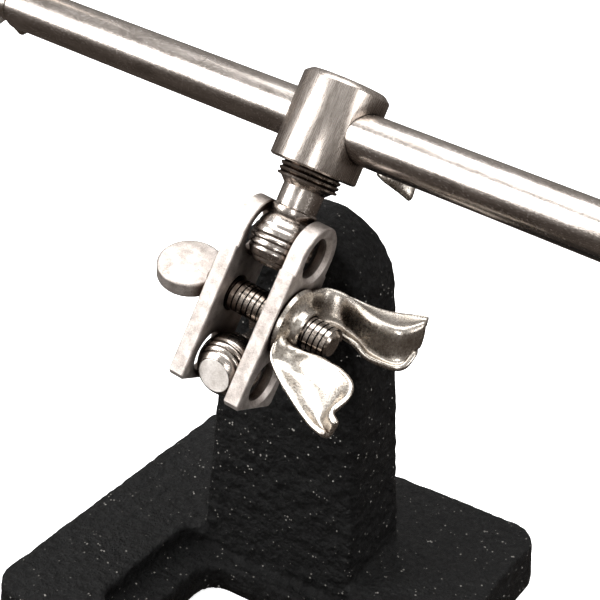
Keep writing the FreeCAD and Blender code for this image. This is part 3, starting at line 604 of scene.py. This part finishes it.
show("bolt_core", settle(spun(shank), bolt_frame), thread_nickel, "clamp", "clamp_bolt")
rolled_thread("bolt_thread", bolt_frame, -plate_outer + 0.3, 15.2, BOLT_RADIUS, BOLT_PITCH,
              thread_nickel, "clamp", "clamp_bolt")


# ---------------------------------------------------------------- clamp wing nut
# Pressed from one blank of 0.9 mm steel: the middle is drawn into a threaded hub, the two
# ends are bent up into leaves that curl outwards. Bright nickel, with painted brown shade in its
# hollows.

def smooth_path(points, count):
    """Points spread evenly along a smooth curve through the given points."""
    spread = []
    spans = len(points) - 1
    for step in range(count):
        here = step / (count - 1) * spans
        index = min(int(here), spans - 1)
        part = here - index
        a = Vector(points[max(index - 1, 0)])
        b = Vector(points[index])
        c = Vector(points[index + 1])
        d = Vector(points[min(index + 2, spans)])
        spread.append(0.5 * ((2 * b) + (c - a) * part + (2 * a - 5 * b + 4 * c - d) * part ** 2
                             + (3 * b - a - 3 * c + d) * part ** 3))
    return spread


def pressed_leaf(rails, dips, side, rows=33, columns=7):
    """One leaf of a pressed wing nut, swept between rails of (along, out, across) points;
    between two rails the sheet dips across by the given depth."""
    shape = bmesh.new()
    paths = [smooth_path(rail, rows) for rail in rails]
    grid = []
    for row in range(rows):
        line = []
        for first, second, dip in zip(paths, paths[1:], dips):
            for step in range(columns):
                share = step / columns
                along, out, across = first[row].lerp(second[row], share)
                hollow = dip * math.sin(math.pi * share) * min(1.0, row / rows * 3)
                line.append(shape.verts.new((along, across + hollow, side * out)))
        along, out, across = paths[-1][row]
        line.append(shape.verts.new((along, across, side * out)))
        grid.append(line)
    for first, second in zip(grid, grid[1:]):
        for step in range(len(first) - 1):
            shape.faces.new((first[step], first[step + 1], second[step + 1], second[step]))
    return shape


def small_leaf(reach, tall, root, side):
    """The leaf of a smaller wing: one sheet between two plain rails."""
    levels = [(0.00, 0.30, 0.56), (0.12, 0.31, 0.70), (0.32, 0.27, 0.78), (0.55, 0.22, 0.85),
              (0.75, 0.22, 0.94), (0.90, 0.27, 1.00), (1.00, 0.44, 0.84)]
    inner = [(0.35 + tall * height, reach * near, side * root) for height, near, _ in levels]
    outer = [(0.35 + tall * height * 0.94, reach * far, -1.4 * side) for height, _, far in levels]
    return pressed_leaf([inner, outer], [side * 1.8], side, 17)


def blend(start, end, share):
    return start + (end - start) * min(max(share, 0.0), 1.0)


def sheet_mesh(shape, place, gauge, name):
    """A bent sheet given its thickness and rounded edges."""
    holder = bpy.data.objects.new(name, settle(shape, place))
    bpy.context.scene.collection.objects.link(holder)
    wall = holder.modifiers.new("wall", "SOLIDIFY")
    wall.thickness = gauge * 0.001
    wall.offset = 0.0
    rounding = holder.modifiers.new("rounding", "SUBSURF")
    rounding.levels = 1
    rounding.render_levels = 1
    return solved_mesh(holder)


# Bright nickel over pressed sheet: mirror-like on its swells, with painted brown shade in its
# hollows.
pressed_nickel = make_nickel("pressed_bright_nickel", "#aaa093", "#ece5dc", 0.27, 0.3, 0.3)
WING_TURN = math.radians(-48)
nut_frame = bolt_frame @ Matrix.Translation((plate_outer + SEAT_GAP, 0, 0)) @ Matrix.Rotation(
    WING_TURN, 4, "X")
far_lower = [(0.5, 2.2, 2.6), (0.8, 2.8, 2.4), (2.6, 3.1, 2.0), (5.0, 2.9, 1.8), (7.0, 2.8, 1.9),
             (8.6, 2.6, 2.7), (10.4, 2.9, 3.0), (12.2, 3.3, 3.0), (13.0, 4.2, 2.7),
             (12.9, 6.1, 1.9)]
far_crest = [(0.5, 2.2, -2.2), (0.5, 3.6, -1.8), (0.9, 5.6, -1.0), (2.6, 6.5, -0.6),
             (4.6, 6.1, -0.6), (6.4, 5.7, -0.6), (8.2, 5.4, -0.6), (10.0, 5.5, -0.6),
             (11.6, 6.3, -0.6), (12.8, 8.6, -0.4)]
far_lip = [(0.3, 2.2, -2.6), (0.3, 3.7, -2.2), (0.5, 6.0, -0.9), (2.2, 7.0, 0.0),
           (4.0, 7.3, 0.2), (5.6, 7.6, 0.4), (7.2, 8.1, 0.6), (8.8, 8.7, 0.6),
           (10.4, 9.3, 0.4), (12.4, 9.8, -0.2)]
near_inner = [(1.2, 2.2, 1.6), (3.2, 2.7, 0.0), (5.7, 2.5, -0.6), (7.5, 2.8, -1.0),
              (8.9, 2.9, -1.1), (10.7, 3.6, -1.3), (11.6, 4.5, -1.3), (11.8, 5.8, -1.1),
              (11.2, 8.0, -0.8), (12.6, 9.0, -0.6)]
near_outer = [(0.3, 2.2, -2.4), (0.3, 3.8, -1.0), (0.6, 5.2, 0.3), (1.9, 6.2, 0.7),
              (3.3, 7.1, 0.8), (4.7, 7.9, 0.8), (6.0, 8.6, 0.8), (7.8, 9.5, 0.7),
              (9.9, 10.3, 0.5), (11.8, 10.6, 0.3)]
for leaf_name, leaf_side, rails, dips in (("far", 1, (far_lower, far_crest, far_lip), (1.6, 0.3)),
                                          ("near", -1, (near_outer, near_inner), (1.5,))):
    leaf = pressed_leaf(rails, dips, leaf_side)
    show("pressed_wing_" + leaf_name, sheet_mesh(leaf, nut_frame, 0.8, "pressed_wing"),
         pressed_nickel, "clamp_nut", "clamp_wing_nut", None)
hub = spun([(0, 2.1), (0, 4.1), (0.25, 4.35), (0.7, 4.2), (1.0, 3.1), (1.4, 2.7), (2.2, 2.6),
            (2.4, 2.4), (2.4, 2.1)], closed=True)
show("nut_hub", settle(hub, nut_frame), pressed_nickel, "clamp_nut", "clamp_wing_nut")


# ---------------------------------------------------------------- upper ball and stem
# Turned like the lower stud: flatted ball, round neck and a collar with three coarse
# threads that screws up into the head.

STEM_LENGTH = 14.3
HEAD_LENGTH = 10.8
STEM_RADIUS = 2.5
COLLAR_RIB_PITCH = 0.6
stem_axis = joint_axis("head_turn")
stem_frame = local_frame(upper_ball, stem_axis, Vector((0, -1, 0)))
head_under = STEM_LENGTH - HEAD_LENGTH / 2
upper_grooves = [(48, 4, 0.12), (70, 4, 0.20), (82, 4, 0.20), (94, 4, 0.20), (112, 4, 0.14)]
stem_profile = ball_profile(BALL_RADIUS, BALL_FLAT_RADIUS, STEM_RADIUS, upper_grooves)
stem_profile += [(3.4, 2.75), (3.9, 2.75), (4.1, STEM_RADIUS), (head_under - 2.4, STEM_RADIUS),
                 (head_under - 1.8, 3.1)]
for rib in range(3):
    rib_start = head_under - 1.8 + rib * COLLAR_RIB_PITCH
    stem_profile += [(rib_start + 0.1, 3.6), (rib_start + 0.35, 3.7), (rib_start + 0.5, 3.35)]
stem_profile += [(head_under, 3.4), (head_under + 1.8, 3.6), (head_under + 1.8, 0)]
show("turned_stem", settle(spun(stem_profile), stem_frame), turned_nickel,
     "stem", "upper_ball_stem")


# ---------------------------------------------------------------- tee head
# A short steel barrel cross-drilled for the bar, drilled behind for the lock screw and
# bored below for the stem. Fine-turned along its length, nickel plated, satin.

head_centre = joint_point("head_turn")
bar_axis = joint_axis("bar_slide")
head_frame = local_frame(head_centre, bar_axis, stem_axis)
head_up = local_frame(head_centre, stem_axis, bar_axis)
# Satin nickel over fine turning: a broad sheen with hairlines that run up the barrel.
satin_nickel = make_nickel("satin_turned_nickel", "#9e948b", "#ddd3cb", 0.26, 0.08, 0.05,
                           head_up, (0.06, 1, 1))
half_head = HEAD_LENGTH / 2
barrel = spun([(-half_head, 3.76), (-half_head, 5.0), (-half_head + 0.2, 5.25),
               (half_head - 0.75, 5.25), (half_head - 0.55, 5.15), (half_head - 0.12, 4.62),
               (half_head, 4.4), (half_head, 3.2), (half_head - 0.06, 3.1), (half_head - 0.06, 0),
               ], steps=128)
barrel_inside = [(-half_head, 3.76), (-half_head + 1.95, 3.76), (-half_head + 1.95, 0)]
lid = spun(barrel_inside, steps=128)
barrel_mesh = bpy.data.meshes.new("barrel")
lid.to_mesh(barrel_mesh)
barrel.from_mesh(barrel_mesh)
lid.free()
bmesh.ops.remove_doubles(barrel, verts=barrel.verts, dist=1e-4)
barrel_holder = bpy.data.objects.new("barrel", settle(barrel, head_up))
bpy.context.scene.collection.objects.link(barrel_holder)
drills = [("bar_drill", spun([(-8, 0), (-8, 3.06), (8, 3.06), (8, 0)], 96), head_frame),
          ("screw_drill", spun([(0, 0), (0, 1.83), (8, 1.83), (8, 0)], 64),
           head_frame @ Matrix.Rotation(math.radians(90), 4, "Z"))]
drill_objects = []
for drill_name, drill_shape, drill_place in drills:
    drill = bpy.data.objects.new(drill_name, settle(drill_shape, drill_place))
    bpy.context.scene.collection.objects.link(drill)
    bore = barrel_holder.modifiers.new(drill_name, "BOOLEAN")
    bore.operation = "DIFFERENCE"
    bore.object = drill
    bore.solver = "EXACT"
    drill_objects.append(drill)
eased = barrel_holder.modifiers.new("eased", "BEVEL")
eased.width = 0.00012
eased.segments = 2
eased.limit_method = "ANGLE"
eased.angle_limit = math.radians(50)
head_mesh = solved_mesh(barrel_holder)
for drill in drill_objects:
    bpy.data.objects.remove(drill)
show("tee_head_barrel", head_mesh, satin_nickel, "head", "tee_head", 30)


# ---------------------------------------------------------------- bar lock screw
# A wing screw that presses on the bar from behind the head: a steel pin with a flat
# pressed wing, bright nickel.

BAR_RADIUS = 3.0
LOCK_TURN = math.radians(-64)
lock_frame = head_frame @ Matrix.Translation((0, BAR_RADIUS + SEAT_GAP, 0)) @ Matrix.Rotation(
    math.radians(90), 4, "Z") @ Matrix.Rotation(LOCK_TURN, 4, "X")
screw_profile = [(0, 0), (0, 1.2), (0.4, 1.5), (8.5, 1.5), (8.5, 0)]
show("lock_screw_pin", settle(spun(screw_profile), lock_frame), pressed_nickel,
     "lock_screw", "bar_lock_screw")
rolled_thread("lock_screw_thread", lock_frame, 0.6, 4.6, 1.75, 0.6, pressed_nickel,
              "lock_screw", "bar_lock_screw")
for leaf_name, leaf_side in (("upper", 1), ("lower", -1)):
    leaf = small_leaf(7.0, 5.4, 0.3, leaf_side)
    leaf.transform(Matrix.Translation((5.0, 0, 0)))
    show("lock_screw_wing_" + leaf_name, sheet_mesh(leaf, lock_frame, 0.9, "lock_wing"),
         pressed_nickel, "lock_screw", "bar_lock_screw", None)
lock_hub = spun([(4.9, 0), (4.9, 2.2), (5.2, 2.4), (8.0, 2.2), (8.5, 1.8), (8.5, 0)])
show("lock_screw_hub", settle(lock_hub, lock_frame), pressed_nickel,
     "lock_screw", "bar_lock_screw")


# ---------------------------------------------------------------- cross bar
# 6 mm round steel bar, drawn, cut to length and chamfered, nickel plated and satin.
# Each end is drilled for the spigot of its ball end.

socket_left = joint_point("ball_end_turn_left")
socket_right = joint_point("ball_end_turn_right")
END_BALL_REACH = 7.0
SPIGOT_DEPTH = 8
SPIGOT_BORE_RADIUS = 1.56
bar_left = -(socket_left - head_centre).length + END_BALL_REACH
bar_right = (socket_right - head_centre).length - END_BALL_REACH
# Nickel over drawn bar: long straight highlights with a faint grain along the bar.
drawn_nickel = make_nickel("drawn_bar_nickel_plate", "#a0978f", "#dfd6cf", 0.22, 0.12, 0.06,
                           head_frame, (0.25, 1, 1))
bar_profile = [(bar_left + SPIGOT_DEPTH, 0), (bar_left + SPIGOT_DEPTH, SPIGOT_BORE_RADIUS),
               (bar_left, SPIGOT_BORE_RADIUS), (bar_left, 2.45), (bar_left + 0.15, 2.65),
               (bar_left + 0.5, BAR_RADIUS)]
bar_steps = 40
for step in range(1, bar_steps):
    along = bar_left + 0.5 + (bar_right - bar_left - 1) * step / bar_steps
    bar_profile.append((along, BAR_RADIUS))
bar_profile += [(bar_right - 0.5, BAR_RADIUS), (bar_right - 0.15, 2.65), (bar_right, 2.45),
                (bar_right, SPIGOT_BORE_RADIUS), (bar_right - SPIGOT_DEPTH, SPIGOT_BORE_RADIUS),
                (bar_right - SPIGOT_DEPTH, 0)]
show("round_cross_bar", settle(spun(bar_profile, 96), head_frame), drawn_nickel,
     "bar", "cross_bar")


# ---------------------------------------------------------------- ball ends and end clamps
# Smaller copies of the main clamp: a turned ball that plugs into the bar, two stamped
# plates, an M3 bolt with a paddle and a pressed wing nut.

END_BALL_RADIUS = 3.0
END_PLATE_THICKNESS = 1.6
END_SEAT_HOLE_RADIUS = 2.0
END_BOLT_RADIUS = 1.5
END_PADDLE_RADIUS = 3.0
END_PADDLE_TURN = math.radians(20)
END_WING_TURN = math.radians(25)
end_inner = plate_reach(END_BALL_RADIUS, END_SEAT_HOLE_RADIUS)
end_outer = end_inner + END_PLATE_THICKNESS
end_grooves = [(60, 5, 0.12), (78, 5, 0.14), (96, 5, 0.12)]
for side in ("left", "right"):
    ball_centre = joint_point("ball_end_turn_" + side)
    outwards = joint_axis("ball_end_turn_" + side)
    end_frame = local_frame(ball_centre, -outwards, Vector((0, 0, 1)))
    profile = ball_profile(END_BALL_RADIUS, 1.6, 1.5, end_grooves)
    profile += [(5.4, 1.5), (5.5, 2.5), (6.6, 2.5), (6.8, 2.3), (6.9, 1.5), (14.3, 1.5),
                (14.5, 1.3), (14.5, 0)]
    show("turned_ball_end_" + side, settle(spun(profile), end_frame), turned_nickel,
         "ball_end_" + side, "bar_ball_" + side)

    clip_ball = joint_point("clip_lean_" + side)
    end_axis = joint_axis("end_clamp_lean_" + side)
    end_spacing = (clip_ball - ball_centre).length
    end_clamp = local_frame(ball_centre, end_axis, clip_ball - ball_centre)
    outline = clamp_outline(3.3, 7.2, 1.8, 2.8, end_spacing)
    holes = [(0.0, END_SEAT_HOLE_RADIUS, 0.35), (end_spacing, END_SEAT_HOLE_RADIUS, 0.35),
             (end_spacing / 2, 1.65, 0.1)]
    end_body = "end_clamp_" + side
    for face, start in (("front", -end_outer), ("back", end_inner)):
        plate = stamped_plate(outline, holes, END_PLATE_THICKNESS, 0.12, 0.35)
        show("end_stamped_plate_%s_%s" % (face, side),
             settle(plate, end_clamp @ Matrix.Translation((start, 0, 0))),
             tumbled_nickel, end_body, "end_plate_%s_%s" % (face, side), 28)
    end_bolt = end_clamp @ Matrix.Translation((0, 0, end_spacing / 2))
    end_sit = math.sqrt(END_PADDLE_RADIUS ** 2 - END_BOLT_RADIUS ** 2)
    end_centre = -end_outer - SEAT_GAP - PADDLE_NECK - end_sit
    end_paddle_turn = Matrix.Rotation(END_PADDLE_TURN, 4, "X") @ Matrix.Rotation(
        math.radians(-90), 4, "Y")
    end_disc = paddle_mesh(END_PADDLE_RADIUS, 0.9)
    bolt_node = "end_bolt_" + side
    show("end_bolt_paddle_" + side,
         settle(end_disc, end_bolt @ Matrix.Translation((end_centre, 0, 0)) @ end_paddle_turn),
         tumbled_nickel, end_body, bolt_node, 50)
    end_shank = [(end_centre + 2, 0), (end_centre + 2, 1.7), (-end_outer - 0.1, 2.0),
                 (-end_outer - SEAT_GAP, 1.28), (8.4, 1.28), (8.6, 1.0), (8.6, 0)]
    show("end_bolt_core_" + side, settle(spun(end_shank, 48), end_bolt), thread_nickel,
         end_body, bolt_node)
    rolled_thread("end_bolt_thread_" + side, end_bolt, -end_outer + 0.3, end_outer + 8.0,
                  END_BOLT_RADIUS, 0.5, thread_nickel, end_body, bolt_node)
    nut_place = end_bolt @ Matrix.Translation((end_outer + SEAT_GAP, 0, 0)) @ Matrix.Rotation(
        END_WING_TURN, 4, "X")
    nut_body = "end_nut_" + side
    nut_node = "end_wing_nut_" + side
    for leaf_name, leaf_side in (("upper", 1), ("lower", -1)):
        leaf = small_leaf(7.4, 9.2, 1.0, leaf_side)
        show("end_wing_%s_%s" % (leaf_name, side),
             sheet_mesh(leaf, nut_place, 0.65, "end_wing"), pressed_nickel, nut_body, nut_node,
             None)
    end_hub = spun([(0, 1.6), (0, 3.3), (0.6, 3.3), (1.1, 2.5), (2.6, 2.3), (2.8, 2.1),
                    (2.8, 1.6)], closed=True)
    show("end_nut_hub_" + side, settle(end_hub, nut_place), pressed_nickel, nut_body, nut_node)


# ---------------------------------------------------------------- spring clips
# Crocodile clips folded from 0.7 mm spring steel: toothed jaws on a rivet pin, with a
# coiled wire spring between them and a rolled socket that takes the ball stud.

CLIP_START = 5.4
CLIP_BARREL = 7.0
CLIP_LENGTH = 42.0
CLIP_PIVOT = 19.0
CLIP_DEPTH = 4.2
CLIP_HALF = 3.7
CLIP_NOSE_HALF = 1.7
CLIP_WALL = 0.7
TOOTH_PITCH = 1.6
TOOTH_DEPTH = 0.9
MOUTH_GAP = 0.3


def folded_channel(stations, sign, bend=0.9):
    """A U channel along Z from (z, half width, floor, lip) stations, open towards the mouth.
    The floor is on the side that 'sign' gives."""
    shape = bmesh.new()
    rows = []
    for z, half, floor, lip in stations:
        corner = min(bend, half * 0.6)
        section = [(-half, lip), (-half, floor - sign * corner)]
        for step in range(1, 5):
            angle = math.pi / 2 * step / 5
            section.append((-half + corner * (1 - math.cos(angle)),
                            floor - sign * corner * (1 - math.sin(angle))))
        section += [(-half + corner, floor), (half - corner, floor)]
        for step in range(1, 5):
            angle = math.pi / 2 * (1 - step / 5)
            section.append((half - corner * (1 - math.cos(angle)),
                            floor - sign * corner * (1 - math.sin(angle))))
        section += [(half, floor - sign * corner), (half, lip)]
        rows.append([shape.verts.new((x, y, z)) for x, y in section])
    for first, second in zip(rows, rows[1:]):
        for index in range(len(first) - 1):
            shape.faces.new((first[index], first[index + 1], second[index + 1], second[index]))
    return shape


def folded_mesh(shape, place, wall, name):
    """Settle a folded channel, give it its wall inwards and break its edges."""
    holder = bpy.data.objects.new(name, settle(shape, place))
    bpy.context.scene.collection.objects.link(holder)
    thick = holder.modifiers.new("wall", "SOLIDIFY")
    thick.thickness = wall * 0.001
    thick.offset = -1.0
    eased = holder.modifiers.new("eased", "BEVEL")
    eased.width = 0.00012
    eased.segments = 2
    eased.limit_method = "ANGLE"
    eased.angle_limit = math.radians(40)
    return solved_mesh(holder)


def toothed_lip(sign):
    """(z, lip) along the mouth edge: valleys and tips of the teeth, to the nose."""
    lips = []
    mouth = CLIP_PIVOT + 4.0
    count = int((CLIP_LENGTH - mouth) / TOOTH_PITCH)
    base = sign * MOUTH_GAP / 2
    for number in range(count):
        z = CLIP_LENGTH - (count - number) * TOOTH_PITCH
        lips.append((z, base + sign * TOOTH_DEPTH))
        lips.append((z + TOOTH_PITCH * 0.42, base + sign * 0.05))
        lips.append((z + TOOTH_PITCH * 0.58, base + sign * 0.05))
    lips.append((CLIP_LENGTH, base + sign * TOOTH_DEPTH * 0.5))
    return lips


# Nickel over folded spring steel, satin, and the bare grey wire of the spring.
clip_nickel = make_nickel("folded_spring_steel_nickel", "#a1978d", "#e8e1da", 0.24, 0.4, 0.35)
spring_steel = make_nickel("drawn_spring_wire", "#6e6a66", "#b5b0ab", 0.25, 0.3, 0.3)
inner_half = CLIP_HALF - CLIP_WALL - 0.25
mouth_start = CLIP_PIVOT + 4.0
for side in ("left", "right"):
    clip_ball = joint_point("clip_lean_" + side)
    clip_axis = joint_axis("clip_turn_" + side)
    pin_axis = -joint_axis("jaw_open_" + side)
    clip_frame = local_frame(clip_ball, pin_axis, clip_axis)
    stud_place = local_frame(clip_ball, clip_axis, pin_axis)
    clip_body = "clip_" + side

    stud_shape = ball_profile(END_BALL_RADIUS, 1.6, 1.5, end_grooves)
    stud_shape += [(4.4, 1.5), (4.5, 2.1), (5.1, 2.1), (5.2, 1.5), (10.8, 1.5), (11, 1.3),
                   (11, 0)]
    show("turned_clip_stud_" + side, settle(spun(stud_shape), stud_place), turned_nickel,
         "clip_stud_" + side, "clip_ball_stud_" + side)

    lower = [(11.0, CLIP_HALF * 0.82, -CLIP_DEPTH + 0.3, 0.4), (12.4, CLIP_HALF, -CLIP_DEPTH, 0.6),
             (CLIP_PIVOT - 2.2, CLIP_HALF, -CLIP_DEPTH, 1.6),
             (CLIP_PIVOT, CLIP_HALF, -CLIP_DEPTH, 1.75),
             (CLIP_PIVOT + 1.8, CLIP_HALF, -CLIP_DEPTH, 1.6),
             (mouth_start - 0.2, CLIP_HALF, -CLIP_DEPTH, -1.0)]
    upper = [(CLIP_START + 1.7, inner_half * 0.92, 8.5, 7.3),
             (CLIP_START + 3.4, inner_half, 8.0, 6.6), (CLIP_PIVOT - 5, inner_half, 6.1, 4.2),
             (CLIP_PIVOT - 1.5, inner_half, 5.0, -1.3),
             (CLIP_PIVOT + 1.5, inner_half, CLIP_DEPTH, -1.4),
             (mouth_start - 0.2, inner_half, CLIP_DEPTH, 1.0)]
    for sign, stations, full in ((-1, lower, CLIP_HALF), (1, upper, inner_half)):
        for z, lip in toothed_lip(sign):
            share = (z - mouth_start - 2) / (CLIP_LENGTH - mouth_start - 2)
            half = blend(full, CLIP_NOSE_HALF, share)
            stations.append((z, half, sign * blend(CLIP_DEPTH, 1.7, share), lip))
    lower_mesh = folded_mesh(folded_channel(lower, -1), clip_frame, CLIP_WALL, "lower_jaw")
    show("folded_lower_jaw_" + side, lower_mesh, clip_nickel, clip_body,
         "clip_lower_jaw_" + side)
    upper_mesh = folded_mesh(folded_channel(upper, 1), clip_frame, CLIP_WALL, "upper_jaw")
    show("folded_upper_jaw_" + side, upper_mesh, clip_nickel, "jaw_" + side,
         "clip_upper_jaw_" + side)
    barrel_tube = spun([(CLIP_START, 1.57), (CLIP_START, 2.4), (CLIP_START + 0.1, 2.5),
                        (CLIP_START + CLIP_BARREL, 2.5), (CLIP_START + CLIP_BARREL, 1.57)],
                       closed=True)
    show("rolled_socket_" + side, settle(barrel_tube, stud_place), clip_nickel, clip_body,
         "clip_lower_jaw_" + side)

    pin_half = CLIP_HALF + 0.4
    pin_profile = [(-pin_half, 0), (-pin_half, 0.7), (-pin_half + 0.15, 1.1),
                   (-CLIP_HALF, 1.3), (-CLIP_HALF + 0.02, 0.88), (CLIP_HALF - 0.02, 0.88),
                   (CLIP_HALF, 1.3), (pin_half - 0.15, 1.1), (pin_half, 0.7), (pin_half, 0)]
    pin_place = clip_frame @ Matrix.Translation((0, 0, CLIP_PIVOT))
    show("rivet_pin_" + side, settle(spun(pin_profile, 40), pin_place), turned_nickel,
         clip_body, "clip_pin_" + side)
    coil_width = 2 * (inner_half - CLIP_WALL) - 0.6
    coil = wound(coil_width / 4.5, 4.5, 1.7, 0.36, 12, spring_steel,
                 pin_place @ Matrix.Translation((-coil_width / 2, 0, 0)))
    show("coiled_spring_" + side, coil, spring_steel, clip_body, "clip_spring_" + side, 60)


# ---------------------------------------------------------------- bench, light and camera
# A plain pale bench top, soft boxes at left, right, overhead and in front, and a dim warm
# room below the bench's edge that gives the plated parts their dark undersides.

bench_mesh = bpy.data.meshes.new("bench_top")
BENCH = 3.0
bench_mesh.from_pydata([(-BENCH, -BENCH, 0), (BENCH, -BENCH, 0), (BENCH, BENCH, 0),
                        (-BENCH, BENCH, 0)], [], [(0, 1, 2, 3)])
bench_paint, bench_tree, bench_shader = blank_material("white_bench_laminate")
bench_place = add_node(bench_tree, "ShaderNodeTexCoord").outputs["Object"]
bench_grain = add_node(bench_tree, "ShaderNodeTexNoise", {
    "Vector": bench_place, "Scale": per_mm(6.0)})
bench_tree.links.new(ramp(bench_tree, bench_grain.outputs["Fac"],
                          [(0.4, "#fafafa"), (0.6, "#ffffff")]),
                     bench_shader.inputs["Base Color"])
bench_shader.inputs["Roughness"].default_value = 0.9
bench_shader.inputs["Specular IOR Level"].default_value = 0.1
bench_shader.inputs["Emission Color"].default_value = colour("#ffffff")
bench_shader.inputs["Emission Strength"].default_value = 0.7
bench_mesh.materials.append(bench_paint)
bench = bpy.data.objects.new("bench_top", bench_mesh)
bpy.context.scene.collection.objects.link(bench)
bench.visible_glossy = False

world = bpy.data.worlds.new("studio_room")
world.use_nodes = True
bpy.context.scene.world = world
room = world.node_tree
direction = add_node(room, "ShaderNodeTexCoord").outputs["Generated"]
split = add_node(room, "ShaderNodeSeparateXYZ", {"Vector": direction})
tall = add_node(room, "ShaderNodeMapRange", {
    "Value": split.outputs["Z"], "From Min": -1.0, "From Max": 1.0})
room_colour = ramp(room, tall.outputs["Result"],
                   [(0.0, "#5a524c"), (0.40, "#6d645e"), (0.50, "#a09a96"), (0.72, "#d0ccc9"),
                    (1.0, "#ffffff")])
backdrop = room.nodes["Background"]
room.links.new(room_colour, backdrop.inputs["Color"])
backdrop.inputs["Strength"].default_value = 0.6

AIM = Vector((0.002, 0.0, 0.055))
soft_boxes = [
    ("left_soft_box", (-0.42, -0.40, 0.38), (0.34, 0.50), 4.8),
    ("right_soft_box", (0.62, -0.02, 0.30), (0.22, 0.40), 1.5),
    ("overhead_soft_box", (-0.02, 0.10, 0.62), (0.60, 0.50), 4.2),
    ("front_fill", (0.30, -0.75, 0.30), (0.12, 0.30), 1.2)]
for box_name, where, (wide, high), power in soft_boxes:
    light = bpy.data.lights.new(box_name, "AREA")
    light.shape = "RECTANGLE"
    light.size = wide
    light.size_y = high
    light.energy = power
    lamp = bpy.data.objects.new(box_name, light)
    lamp.location = where
    lamp.rotation_euler = (Vector(where) - AIM).to_track_quat("Z", "Y").to_euler()
    bpy.context.scene.collection.objects.link(lamp)

bpy.context.scene.view_settings.view_transform = "Standard"

camera_data = bpy.data.cameras.new("camera")
camera_data.sensor_width = 36.0
camera_data.lens = 96.0
camera = bpy.data.objects.new("camera", camera_data)
bpy.context.scene.collection.objects.link(camera)
look_right = Vector((0.834, 0.550, 0.038)).normalized()
look_back = Vector((0.466, -0.740, 0.485)).normalized()
look_up = look_back.cross(look_right).normalized()
look_right = look_up.cross(look_back)
camera.matrix_world = Matrix.Translation((0.09113, -0.14101, 0.13867)) @ Matrix(
    (look_right, look_up, look_back)).transposed().to_4x4()
bpy.context.scene.camera = camera
